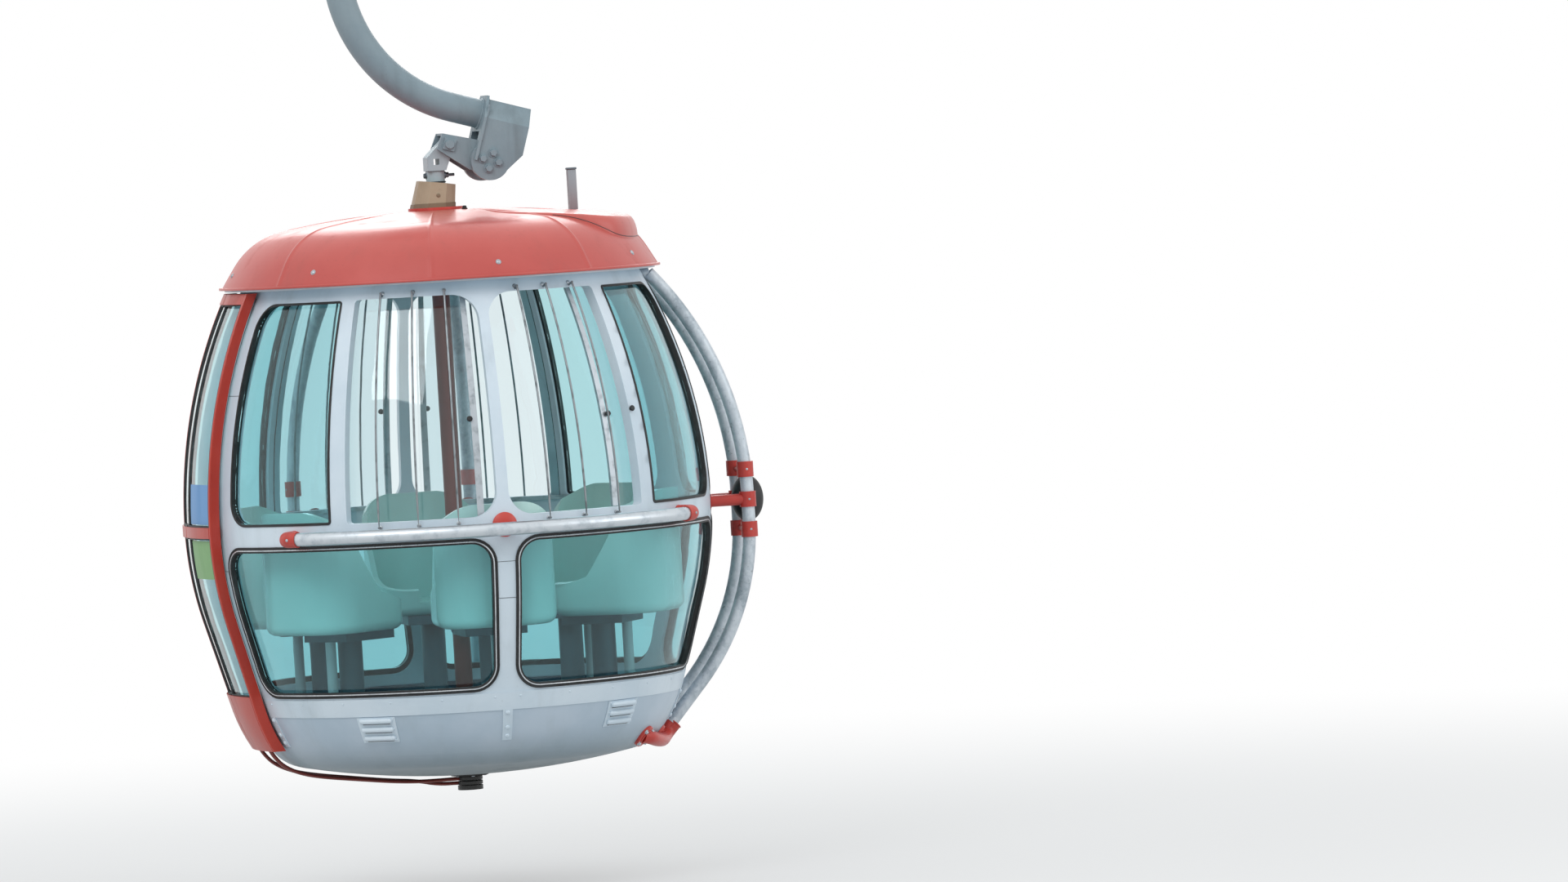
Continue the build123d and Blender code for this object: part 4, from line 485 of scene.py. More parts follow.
class Heap:
    """Collects many small forms, which become one joined mesh."""

    def __init__(self):
        self.points = []
        self.faces = []

    def grid(self, rows, cap=False, loop=False, flip=False):
        """Skin over closed rows of points. loop joins the last row to the first, flip turns it inside out."""
        first = len(self.points)
        count = len(rows[0])
        for row in rows:
            self.points += [Vector(point) for point in row]
        for ring in range(len(rows) if loop else len(rows) - 1):
            low = first + ring * count
            high = first + (ring + 1) % len(rows) * count
            for step in range(count):
                after = (step + 1) % count
                face = (low + step, low + after, high + after, high + step)
                self.faces.append((face[0], *face[:0:-1]) if flip else face)
        if cap:
            bottom = tuple(range(first, first + count))
            top = tuple(range(len(self.points) - count, len(self.points)))
            self.faces += [bottom, top[::-1]] if flip else [bottom[::-1], top]

    def turned(self, profile, place, axis, sides=16, start=0.0):
        """Form of revolution. The profile is a list of radius and height along the axis."""
        axis = Vector(axis).normalized()
        across = axis.orthogonal().normalized()
        third = axis.cross(across)
        self.grid([
            [Vector(place) + axis * height + (across * cos(angle) + third * sin(angle)) * radius
             for angle in circle(sides, start)]
            for radius, height in profile], cap=True)

    def stud(self, profile, turn, rise, off=0.0, sides=16):
        """Form of revolution that stands on the body's skin."""
        self.turned(profile, on_skin(turn, rise, off), skin_normal(turn, rise), sides)

    def tube(self, path, radius, sides=8, closed=False, flat=1.0):
        """Round or flattened cord of metal along a list of points."""
        count = len(path)
        rows = []
        up = Vector(UP)
        for index, point in enumerate(path):
            before = path[index - 1] if closed or index else path[index]
            after = path[(index + 1) % count] if closed or index < count - 1 else path[index]
            run = (Vector(after) - Vector(before)).normalized()
            if abs(run.dot(up)) > 0.95:
                up = Vector((point[0], point[1], 0)).normalized()
            side = run.cross(up).normalized()
            up = side.cross(run).normalized()
            rows.append([
                Vector(point) + side * (radius * cos(angle)) + up * (radius * flat * sin(angle))
                for angle in circle(sides)])
        self.grid(rows, cap=not closed, loop=closed, flip=True)

    def block(self, centre, size, bevel):
        """Upright bar with rounded corners. size is its sides along X, Y and Z."""
        length, width, height = size
        outline = []
        for quarter, (side_x, side_y) in enumerate(((1, 1), (-1, 1), (-1, -1), (1, -1))):
            for step in range(4):
                angle = radians(90 * quarter + 30 * step)
                outline.append((side_x * (length / 2 - bevel) + bevel * cos(angle),
                                side_y * (width / 2 - bevel) + bevel * sin(angle)))
        layers = ((-height / 2, 1 - bevel / length), (-height / 2 + bevel / 2, 1.0),
                  (height / 2 - bevel / 2, 1.0), (height / 2, 1 - bevel / length))
        self.grid([
            [Vector(centre) + Vector((x * shrink, y * shrink, level)) for x, y in outline]
            for level, shrink in layers], cap=True)

    def ring(self, place, axis, radius, thickness, sides=24, lumps=0.0):
        """Bead round a bar, such as a weld. lumps is how uneven it is."""
        axis = Vector(axis).normalized()
        across = axis.orthogonal().normalized()
        third = axis.cross(across)
        path = []
        for step, angle in enumerate(circle(sides)):
            uneven = lumps * sin(7.3 * step + 2.1 * sin(2.9 * step))
            out = across * cos(angle) + third * sin(angle)
            path.append(Vector(place) + out * (radius + uneven) + axis * (uneven * 0.7))
        self.tube(path, thickness, 7, closed=True)

    def weld(self, first, second, thickness, lumps=0.0008, pitch=0.004):
        """Uneven straight bead of weld between two points."""
        pieces = max(1, int((second - first).length / pitch))
        path = []
        for step in range(pieces + 1):
            shift = lumps * sin(5.1 * step + 1.7 * sin(3.3 * step))
            path.append(first.lerp(second, step / pieces) + Vector((shift, shift * 0.6, shift * 0.8)))
        self.tube(path, thickness, 7)

    def make(self, name, body, slot, finish=None, smooth=True, sharp=40.0):
        """Turn the heap into a piece that rides on a body."""
        mesh = bpy.data.meshes.new(name)
        mesh.from_pydata([tuple(point) for point in self.points], [], self.faces)
        mesh.validate()
        mesh.update()
        if smooth:
            mesh.shade_smooth()
            mesh.set_sharp_from_angle(angle=radians(sharp))
        piece = placed(name, mesh)
        mesh.materials.append(finish or FINISHES[slot])
        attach(piece, body)
        return piece


def dome_profile(radius, height, sink=0.002):
    """Profile of a domed head, from under its seat to its top."""
    rows = [(radius, -sink), (radius, height * 0.12)]
    for step in range(1, 6):
        angle = radians(90 * step / 6)
        rows.append((radius * cos(angle), height * 0.12 + height * 0.88 * sin(angle)))
    rows.append((radius * 0.12, height))
    return rows


def hexagon_head(heap, place, axis, width, height, washer=0.0, sink=0.002):
    """Hexagon bolt head or nut across flats, with a chamfered top and a washer."""
    radius = width / sqrt(3)
    if washer:
        heap.turned(
            [(radius * 1.35, -sink), (radius * 1.35, washer * 0.7), (radius * 1.3, washer)], place, axis, 24)
    base = washer - (0.0002 if washer else sink)
    heap.turned(
        [(radius, base), (radius, washer + height * 0.8), (radius * 0.86, washer + height)], place, axis, 6)


# Bolt heads and nuts: width across flats, height and washer
HOUSING_HEAD = (0.024, 0.013, 0.003)
FLANGE_HEAD = (0.030, 0.018, 0.003)
FLANGE_NUT = (0.030, 0.014, 0.003)
STUB_HEAD = (0.017, 0.008, 0.002)
STUB_NUT = (0.018, 0.012, 0.004)
HUB_HEAD = (0.012, 0.0028)
FOOT_HEAD = (0.012, 0.006, 0.0015)
CASTING_HEAD = (0.022, 0.011, 0.003)
JAW_HEAD = (0.018, 0.009, 0.002)
AXLE_NUT = (0.030, 0.004)


def window_loop(left, right, inset, steps=8):
    """Turns and rises of a lower window's rounded outline, drawn in by inset."""
    rows = []
    reach = BIG_CORNER - inset
    for side, edge, way in ((1, left, -1), (-1, right, -1), (-1, right, 1), (1, left, 1)):
        base = (LOWER_HEAD if way > 0 else LOWER_SILL) - way * (inset + reach)
        part = []
        for step in range(steps + 1):
            angle = radians(90 * step / steps)
            away = inset + reach * (1 - cos(angle))
            rise = base + way * reach * sin(angle)
            part.append((edge + side * degrees(away / skin_radius(rise)), rise))
        rows += part[::-1] if side == way else part
    return rows


def filled(rows, gap=0.04):
    """The same loop with its long runs divided, so that it follows the curved skin."""
    dense = []
    for index, (turn, rise) in enumerate(rows):
        next_turn, next_rise = rows[(index + 1) % len(rows)]
        span = max(abs(next_turn - turn) * radians(1) * BODY_RADIUS, abs(next_rise - rise))
        pieces = max(1, int(span / gap))
        for step in range(pieces):
            share = step / pieces
            dense.append((turn + (next_turn - turn) * share, rise + (next_rise - rise) * share))
    return dense


LOWER_WINDOWS = [
    (-LOWER_EDGE, -LOWER_MULLION), (LOWER_MULLION, LOWER_EDGE),
    (180 - LOWER_EDGE, 180 - LOWER_MULLION), (180 + LOWER_MULLION, 180 + LOWER_EDGE),
    (90 - END_HALF, 90 + END_HALF),
]
STRIP_PROUD, STRIP_TUBE = 0.0032, 0.0028
LIP_PROUD, LIP_TUBE = 0.0028, 0.0034


def seal_beads(name, insets, proud, tube, slot, finish=None):
    """Beads along each lower window's seal, at some distances in from its outer edge."""
    heap = Heap()
    for left, right in LOWER_WINDOWS:
        for inset in insets:
            rows = filled(window_loop(left, right, inset))
            heap.tube([on_skin(turn, rise, proud) for turn, rise in rows], tube, 8, closed=True)
    heap.make(name, "cabin", slot, finish)


# Plates riveted on the hull
PLATE_PROUD = 0.003
BAND_RISE = 0.322
BAND_RIVETS = [3.3 + 13.5 * step for step in range(6)]
STRAP_TURN = SIDE_HALF - 2.3
STRAP_RIVETS = (0.262, 0.207, 0.176)
LOUVRE_RIVETS = [(turn, rise) for turn in (30.6, 39.8) for rise in (0.184, 0.226, 0.262)]
LOUVRE_TURNS = [middle + side * 35.2 for middle in MIDDLES for side in BOTH]
LOUVRE_HALF = 3.9
LOUVRE_RISES = (0.192, 0.224, 0.256)
LOUVRE_TUBE, LOUVRE_PROUD = 0.0100, 0.0065
# Dark strips under the hoods, painted shade in the vents' openings: thickness, standoff from the skin, drop
# below each hood
VENT_SHADE_TUBE, VENT_SHADE_PROUD, VENT_SHADE_DROP = 0.0022, 0.0042, 0.0105


def hull_rivets():
    """Small rivets along the riveted band, at the louvre plates and the big ones on the straps."""
    heap = Heap()
    small = dome_profile(0.0042, 0.0026)
    big = dome_profile(0.0085, 0.0055)
    for middle in MIDDLES:
        for side in BOTH:
            for turn in BAND_RIVETS:
                heap.stud(small, middle + side * turn, BAND_RISE, PLATE_PROUD, 12)
            for rise in STRAP_RIVETS:
                heap.stud(big, middle + side * STRAP_TURN, rise, PLATE_PROUD)
            for turn, rise in LOUVRE_RIVETS:
                heap.stud(small, middle + side * turn, rise, PLATE_PROUD, 12)
        for rise in STRAP_RIVETS:
            heap.stud(big, middle, rise, PLATE_PROUD)
    heap.make("hull_rivets", "cabin", "body_white")


def louvres():
    """Pressed hoods with round ends over the vents, and dark strips under them as painted shade in the vents'
    openings.
    """
    hoods = Heap()
    vent_shade_strips = Heap()
    end = dome_profile(LOUVRE_TUBE, LOUVRE_TUBE, 0.0)
    for centre in LOUVRE_TURNS:
        turns = [centre + LOUVRE_HALF * (step / 10 - 1) for step in range(21)]
        for rise in LOUVRE_RISES:
            path = [on_skin(turn, rise, LOUVRE_PROUD) for turn in turns]
            hoods.tube(path, LOUVRE_TUBE, 14)
            for tip in (path[0], path[-1]):
                hoods.turned(end, tip, tip - path[10], 14)
            # Painted shade: a dark strip under each hood where the vent opens
            vent_shade_strips.tube([on_skin(turn, rise - VENT_SHADE_DROP, VENT_SHADE_PROUD) for turn in turns], VENT_SHADE_TUBE)
    hoods.make("louvre_hoods", "cabin", "body_white")
    vent_shade_strips.make("louvre_painted_vent_shade", "cabin", "body_white", SEAM_AND_SHADE_DARK)


SEAM_PROUD, CROSS_SEAM, UPRIGHT_SEAM = 0.0002, 0.0009, 0.0011
SEAMS = (
    # rise, turns of its two ends
    (0.684, -LOWER_MULLION, LOWER_MULLION), (0.817, -LOWER_MULLION, LOWER_MULLION),
    (1.46, -SIDE_HALF, -UPPER_EDGE), (1.46, UPPER_EDGE, SIDE_HALF),
    (0.82, -SIDE_HALF, -LOWER_EDGE), (0.82, LOWER_EDGE, SIDE_HALF),
)


def panel_seams():
    """Thin seams where the skin's sheets meet on posts, mullions and belt."""
    heap = Heap()
    for middle in MIDDLES:
        for rise, left, right in SEAMS:
            path = [on_skin(middle + left + (right - left) * step / 6, rise, SEAM_PROUD) for step in range(7)]
            heap.tube(path, CROSS_SEAM, 6)
        for turn in (-SIDE_HALF, SIDE_HALF):
            path = [on_skin(middle + turn, 0.31 + 1.5 * step / 40, SEAM_PROUD) for step in range(41)]
            heap.tube(path, UPRIGHT_SEAM, 6)
    heap.make("panel_seams", "cabin", "body_white", SEAM_AND_SHADE_DARK)


# Roof: dome over a shoulder and a sloped side, with soft creases that part it into facets
ROOF_TOP = 2.095
ROOF_DOME = 3.850
RIM_RADIUS = 0.812
RIM_RISE = 1.843
SIDE_SLOPE = radians(30.0)
SHOULDER = 0.280
ROOF_WALL = 0.012
ROOF_LIP = (
    # radius, rise
    (0.8150, 1.8530), (0.8180, 1.8518), (0.8190, 1.8490),
    (0.8190, 1.8440), (0.8180, 1.8430), (0.8010, 1.8430),
)
SCREW_RADIUS = 0.780
ROOF_WASHER = ((0.0105, -0.002), (0.0105, 0.0012), (0.0100, 0.0018))
ROOF_HEAD = dome_profile(0.0075, 0.0045)
GLAND = ((0.011, -0.003), (0.011, 0.003), (0.008, 0.005), (0.008, 0.010), (0.005, 0.013))
# Angles from +X towards +Y
ROOF_SCREWS = (34.8, 84.8, 137.0, 180.0, -137.0, -84.8, -34.8)
CREASES = (13.0, 58.0, 103.0, 148.0, -148.0, -103.0, -58.0, -13.0)
CREASE_HEIGHT, CREASE_WIDTH = 0.0030, 0.62
CREASE_STEPS = (0.0, 0.2, 0.4, 0.6, 0.85, 1.15, 1.6)
FACET_SINK = 0.0055


def shoulder_centre():
    """Radius and height of the middle of the shoulder's arc, and how far up the side it starts."""
    low, high = 0.0, 0.5
    for _ in range(50):
        run = (low + high) / 2
        radius = RIM_RADIUS - sin(SIDE_SLOPE) * run - cos(SIDE_SLOPE) * SHOULDER
        rise = RIM_RISE + cos(SIDE_SLOPE) * run - sin(SIDE_SLOPE) * SHOULDER
        if sqrt(radius ** 2 + (rise - ROOF_TOP + ROOF_DOME) ** 2) < ROOF_DOME - SHOULDER:
            low = run
        else:
            high = run
    return radius, rise, run


SHOULDER_RADIUS, SHOULDER_RISE, SIDE_RUN = shoulder_centre()
CROWN_RADIUS = SHOULDER_RADIUS * ROOF_DOME / (ROOF_DOME - SHOULDER)


def dome_rise(radius):
    """Height of the crown's sphere at a distance from the axis."""
    return ROOF_TOP - ROOF_DOME + sqrt(ROOF_DOME ** 2 - radius ** 2)


def roof_rise(radius):
    """Height of the roof's outer form at a distance from the axis."""
    if radius <= CROWN_RADIUS:
        return dome_rise(radius)
    if radius <= SHOULDER_RADIUS + SHOULDER * cos(SIDE_SLOPE):
        return SHOULDER_RISE + sqrt(max(SHOULDER ** 2 - (radius - SHOULDER_RADIUS) ** 2, 0.0))
    return RIM_RISE + (RIM_RADIUS - radius) / tan(SIDE_SLOPE)


def roof_profile(depth):
    """Rows of radius, height and outward direction from near the axis to the rim, depth below the skin."""
    rows = []
    for step in range(19):
        radius = CROWN_RADIUS * (0.004 + 0.996 * step / 18)
        rise = dome_rise(radius)
        rows.append((radius, rise, Vector((radius, rise - ROOF_TOP + ROOF_DOME)).normalized()))
    start = atan2(SHOULDER_RISE - ROOF_TOP + ROOF_DOME, SHOULDER_RADIUS)
    for step in range(1, 15):
        angle = start + (SIDE_SLOPE - start) * step / 14
        out = Vector((cos(angle), sin(angle)))
        rows.append((SHOULDER_RADIUS + SHOULDER * out.x, SHOULDER_RISE + SHOULDER * out.y, out))
    side = Vector((cos(SIDE_SLOPE), sin(SIDE_SLOPE)))
    for step in range(1, 5):
        run = SIDE_RUN + (0.011 - SIDE_RUN) * step / 4
        rows.append((RIM_RADIUS - run * side.y, RIM_RISE + run * side.x, side))
    return [(radius - out.x * depth, rise - out.y * depth, out) for radius, rise, out in rows]


def eased(share):
    """0 to 1 with a soft start and end."""
    share = min(max(share, 0.0), 1.0)
    return share * share * (3 - 2 * share)


def crease_lift(turn, radius):
    """How far the moulded roof stands off its plain form: a rib on each crease, flatter between."""
    angle = (turn + 180.0) % 360.0 - 180.0
    lift = 0.0
    for crease in CREASES:
        away = (angle - crease + 180.0) % 360.0 - 180.0
        lift += CREASE_HEIGHT * exp(-(away / CREASE_WIDTH) ** 2)
    bounds = sorted(CREASES)
    left = max([crease for crease in bounds if crease <= angle] or [bounds[-1] - 360.0])
    right = min([crease for crease in bounds if crease > angle] or [bounds[0] + 360.0])
    if (left, right) != (-13.0, 13.0):
        share = (2 * angle - left - right) / (right - left)
        rim = min(max((RIM_RADIUS - radius) / 0.05, 0.35), 1.0)
        lift -= FACET_SINK * (1.0 - share * share) * rim
    return lift * eased((radius - 0.20) / 0.16)


def roof_skin():
    """Moulded roof with creases and a turned-out lip, in place of the plain shell."""
    turns = {float(turn) for turn in range(-180, 180, 2)}
    for crease in CREASES:
        turns |= {crease + side * step for side in BOTH for step in CREASE_STEPS}
    turns = sorted(turns)
    rows = []
    for radius, rise, out in roof_profile(0.0):
        lifts = [crease_lift(turn, radius) for turn in turns]
        rows.append([
            round_axis(90.0 - turn, radius + out.x * lift, rise + out.y * lift)
            for turn, lift in zip(turns, lifts)])
    inner = [(radius, rise) for radius, rise, _ in reversed(roof_profile(ROOF_WALL))]
    for radius, rise in list(ROOF_LIP) + inner:
        rows.append([round_axis(90.0 - turn, radius, rise) for turn in turns])
    heap = Heap()
    heap.grid(rows, cap=True)
    skin = heap.make("roof_skin", "cabin", "roof_red", sharp=50.0)
    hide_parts("roof_shell")


# Hood on the roof's buffer side: its edge in plan, from the mount to the rim
HOOD_EDGE = (
    (0.118, 0.100), (0.150, 0.300), (0.200, 0.385), (0.280, 0.438), (0.400, 0.462), (0.500, 0.464),
    (0.560, 0.452), (0.600, 0.428), (0.648, 0.365), (0.695, 0.270), (0.730, 0.150), (0.745, 0.000),
)
HOOD_CENTRE = Vector((0.42, 0.0))
HOOD_LIFT = 0.008
HOOD_FLUSH = 0.12
HOOD_REACH = 0.80
HOOD_SHARES = (0.0004, 0.15, 0.3, 0.45, 0.6, 0.72, 0.82)
# Its edge's rounding: the least width, and the width for each metre that it stands over the roof
HOOD_EASE = (0.012, 0.55)


def hood_lift(radius):
    """How far the hood stands over the crown: almost flush at the mount, all of it by the shoulder."""
    return HOOD_LIFT * (HOOD_FLUSH + (1.0 - HOOD_FLUSH) * eased((radius - 0.38) / 0.22))


def hood_point(plan, share, drop=0.0):
    """Point over a place in plan, at a share of the hood's height over the roof."""
    base = roof_rise(min(plan.length, HOOD_REACH))
    tall = dome_rise(plan.length) + hood_lift(plan.length) - base
    return Vector((plan.x, plan.y, HULL_Z + base + drop + tall * share))


def rounded(points, rounds=3):
    """Open line of points with its corners cut off a few times."""
    points = [Vector(point) for point in points]
    for _ in range(rounds):
        cut = [points[0]]
        for first, second in zip(points, points[1:]):
            cut += [first.lerp(second, 0.25), first.lerp(second, 0.75)]
        cut.append(points[-1])
        points = cut
    return points


def roof_hood():
    """Hood that carries the crown on over the shoulder, with a dark line of painted shade along its outer
    edge.
    """
    half = rounded(HOOD_EDGE)
    edge = [Vector((point.x, -point.y)) for point in half] + list(reversed(half[:-1]))
    rows = []
    for share in HOOD_SHARES:
        rows.append([hood_point(HOOD_CENTRE.lerp(point, share), 1.0) for point in edge])
    for step in range(7):
        angle = radians(90 * step / 6)
        row = []
        for point in edge:
            tall = dome_rise(point.length) + hood_lift(point.length) - roof_rise(point.length)
            width = max(HOOD_EASE[0], HOOD_EASE[1] * tall)
            inner = (HOOD_CENTRE - point).normalized() * (width * (1 - sin(angle)))
            row.append(hood_point(point + inner, cos(angle)))
        rows.append(row)
    rows.append([hood_point(point, 0.0, -ROOF_WALL) for point in edge])
    heap = Heap()
    heap.grid(rows, cap=True)
    hood = heap.make("roof_hood", "cabin", "roof_red", sharp=60.0)
    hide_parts("roof_cover")
    # Painted shade: a dark line in the gap along the hood's outer edge
    hood_edge_shade = Heap()
    for way in BOTH:
        hood_edge_shade.tube([
            Vector((point.x, point.y, HULL_Z + roof_rise(point.length) + 0.0008)) for point in edge
            if point.y * way > 0.0 and point.length > 0.56], 0.0013, 7)
    hood_edge_shade.make("roof_hood_edge_shade", "cabin", "roof_red", SEAM_AND_SHADE_DARK)


def roof_stem():
    """Flat post on the hood with eased edges and a dark cap."""
    low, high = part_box("roof_post")
    middle = (low.x + high.x) / 2
    cap_height = 0.008
    top = high.z - cap_height
    post = Heap()
    post.block((middle, 0.0, (top + low.z) / 2), (0.034, 0.024, top - low.z), 0.004)
    piece = post.make("roof_stem", "cabin", "post_grey")
    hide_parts("roof_post")
    cap = Heap()
    cap.block((middle, 0.0, top + cap_height / 2), (0.038, 0.028, cap_height), 0.003)
    cap.make("roof_stem_cap", "cabin", "post_grey", HUB_STEEL)


def roof_fasteners():
    """Domed screws with washers round the roof's side, and the gland by the mount."""
    heap = Heap()
    for angle in ROOF_SCREWS:
        turn = 90.0 - angle
        level = cos(SIDE_SLOPE)
        out = Vector((sin(radians(turn)) * level, -cos(radians(turn)) * level, sin(SIDE_SLOPE)))
        place = round_axis(turn, SCREW_RADIUS, roof_rise(SCREW_RADIUS))
        place += out * crease_lift(angle, SCREW_RADIUS)
        heap.turned(ROOF_WASHER, place, out, 20)
        heap.turned(ROOF_HEAD, place + out * 0.001, out)
    heap.make("roof_screws", "cabin", "bar_steel", BOLT_STEEL)
    gland = Heap()
    gland.turned(GLAND, (0.086, -0.118, HULL_Z + roof_rise(0.146)), UP)
    gland.make("roof_gland", "cabin", "seal_black")


# Suspension, in the plane across the rope, and the hanger's slope at its foot
NECK_PLACE = Vector((0.197, 0.0, HULL_Z + 2.437))
NECK_SLOPE = radians(16.5)
HOUSING_FACE = 0.095
LEVER_FACE = 0.076
PIN_PLACE = Vector((0.053, 0.0, HULL_Z + 2.334))
PIN_HEAD = ((0.0185, -0.002), (0.0185, 0.006), (0.0165, 0.009), (0.006, 0.0095))
# x and rise of each
HOUSING_BOLTS = ((0.171, 2.274), (0.211, 2.293), (0.228, 2.257), (0.190, 2.236))
MAST_X = -0.320
FLANGE_BOLTS = 0.150
FLANGE_FACE = 0.022
FLANGE_STUD, FLANGE_STUD_LIFT = ((0.009, 0.0), (0.009, 0.010), (0.007, 0.012)), 0.042
NECK_BEAD = 0.0545
STUB_X = 0.006
STUB_THREAD = ((0.0055, 0.0), (0.0055, 0.030), (0.0045, 0.032))
STUB_BOLT_RISE = 2.222
STUB_GROOVE_RISE = 2.2385
BLOCK_TOP = 2.195
BLOCK_FOOT, BLOCK_HEIGHT = 2.085, 0.110


def neck_frame(along, side, across):
    """Point in the foot plate's own directions."""
    return NECK_PLACE + Vector((
        along * cos(NECK_SLOPE) + across * sin(NECK_SLOPE), side,
        -along * sin(NECK_SLOPE) + across * cos(NECK_SLOPE)))


def suspension_bolts():
    """Hexagon bolts through the housing and the round heads of the suspension pin."""
    heap = Heap()
    for side in BOTH:
        for x, rise in HOUSING_BOLTS:
            hexagon_head(heap, (x, side * HOUSING_FACE, HULL_Z + rise), (0, side, 0), *HOUSING_HEAD)
        heap.turned(
            PIN_HEAD, PIN_PLACE + Vector((0, side * LEVER_FACE, 0)), (0, side, 0), 8, radians(10))
    heap.make("suspension_bolts", "hanger", "hanger_grey")


def suspension_welds():
    """Weld beads where the foot plate meets the housing and the neck, and at the mast's flange."""
    heap = Heap()
    for side in BOTH:
        face = side * HOUSING_FACE
        heap.weld(neck_frame(0.001, face, 0.036), neck_frame(0.001, face, -0.10), 0.0048)
        heap.weld(neck_frame(0.001, side * 0.052, 0.060), neck_frame(0.001, face, -0.012), 0.0042)
    along = neck_frame(1, 0, 0) - neck_frame(0, 0, 0)
    heap.ring(neck_frame(-0.011, 0.0, 0.0), along, NECK_BEAD, 0.005, 72, 0.0009)
    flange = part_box("hanger_mast")[0].z - FLANGE_FACE - 0.0005
    heap.ring((MAST_X, 0.0, flange), UP, NECK_BEAD, 0.005, 72, 0.0009)
    heap.make("hanger_welds", "hanger", "hanger_grey")


def flange_bolts():
    """Eight bolts with nuts round the neck's flange."""
    heap = Heap()
    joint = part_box("hanger_neck")[1].z
    for angle in circle(8):
        x, y = MAST_X + FLANGE_BOLTS * cos(angle), FLANGE_BOLTS * sin(angle)
        hexagon_head(heap, (x, y, joint + FLANGE_FACE), UP, *FLANGE_HEAD)
        hexagon_head(heap, (x, y, joint - FLANGE_FACE), (0, 0, -1), *FLANGE_NUT)
        heap.turned(FLANGE_STUD, (x, y, joint + FLANGE_STUD_LIFT), UP, 12)
    heap.make("flange_bolts", "hanger", "bar_steel", BOLT_STEEL)


def stub_details():
    """Cross bolt through the stub, a dark ring of painted shade in the recess round the stub above it, a
    black bead at the block's top, and the dark foot of the tan block.
    """
    bolt = Heap()
    level = HULL_Z + STUB_BOLT_RISE
    hexagon_head(bolt, (STUB_X - 0.034, 0.0, level), (-1, 0, 0), *STUB_HEAD)
    hexagon_head(bolt, (STUB_X + 0.0345, 0.0, level), (1, 0, 0), *STUB_NUT)
    bolt.turned(STUB_THREAD, (STUB_X + 0.040, 0.0, level), (1, 0, 0), 12)
    bolt.make("stub_bolt", "cabin", "hanger_grey", HUB_STEEL)
    stub_shade_and_bead_rings = Heap()
    # Painted shade: a dark ring in the recess round the stub
    stub_shade_and_bead_rings.ring((STUB_X, 0.0, HULL_Z + STUB_GROOVE_RISE), UP, 0.0352, 0.0012, 40)
    # A black bead at the tan block's top
    stub_shade_and_bead_rings.ring((STUB_X, 0.0, HULL_Z + BLOCK_TOP + 0.002), UP, 0.0362, 0.0028, 40, 0.0003)
    stub_shade_and_bead_rings.make("stub_groove_shade_and_bead", "cabin", "seal_black")
    foot = Heap()
    rows = []
    for rise, grow in ((2.100, 0.0025), (2.117, 0.0025), (2.1185, 0.0005)):
        share = (rise - BLOCK_FOOT) / BLOCK_HEIGHT
        radius = 0.0864 - 0.0120 * share + grow
        middle = -0.014 + 0.021 * share
        rows.append([
            Vector((middle + radius * cos(angle), radius * sin(angle), HULL_Z + rise + 0.006 * share))
            for angle in circle(8, radians(22.5))])
    foot.grid(rows, cap=True)
    foot.make("block_foot", "cabin", "block_tan", BLOCK_DARK, smooth=False)
    plug = Heap()
    plug.turned(dome_profile(0.0075, 0.0022), (-0.001, -0.0745, HULL_Z + 2.148), (0, -1, 0.1), 12)
    plug.make("block_plug", "cabin", "block_tan", BLOCK_DARK)


def hub_bolts():
    """Bolt heads under the hub's flange."""
    heap = Heap()
    for angle in circle(6, radians(30)):
        place = (0.059 * cos(angle), 0.059 * sin(angle), HULL_Z - 0.0072)
        hexagon_head(heap, place, (0, 0, -1), *HUB_HEAD)
    heap.make("hub_bolts", "cabin", "bar_steel", BOLT_STEEL)


# Guard pipes: angle from +X and place along the side of each upright one, and heights of its sleeves
PIPE_REACH = BODY_RADIUS + 0.145
PIPE_ARC = 1.250
PIPE_PLACES = ((0.0, -0.090), (0.0, 0.090), (75.7, 0.0), (112.9, 0.0))
SPACER_RISE = 0.950
SLEEVE_RISES = (0.838, SPACER_RISE, 1.062)
WALL_RADIUS = 0.9525
# Bent foot of an end pipe along its middle, from the pipe's end to the flange
FOOT_BEND = (
    # turn, radius, rise
    (83.3, 0.774, 0.136), (83.0, 0.748, 0.108), (80.5, 0.731, 0.091), (75.0, 0.726, 0.086),
    (68.0, 0.726, 0.089), (61.0, 0.728, 0.098), (56.0, 0.730, 0.110), (54.0, 0.712, 0.117),
)
FOOT_RADIUS = 0.0262
FOOT_BOLTS = 0.0262
BELT_PIPE_RADIUS = BODY_RADIUS + 0.067
BELT_PIPE_RISE = 0.937
BELT_PIPE_END = 45.0
SLEEVE_HALF = 0.0265
SLEEVE_RADIUS = 0.0283
SET_SCREW = dome_profile(0.0058, 0.0036)
WALL_RING = ((0.0395, -0.004), (0.0395, 0.0035), (0.037, 0.0050), (0.022, 0.0055))
FOOT_FLANGE = ((0.045, -0.008), (0.045, 0.006), (0.042, 0.009), (0.020, 0.0095))


def guard_rise_radius(rise):
    """The upright guard pipe's distance from the axis."""
    if rise < BELT_RISE:
        return PIPE_REACH
    return PIPE_REACH - PIPE_ARC + sqrt(PIPE_ARC ** 2 - (rise - BELT_RISE) ** 2)


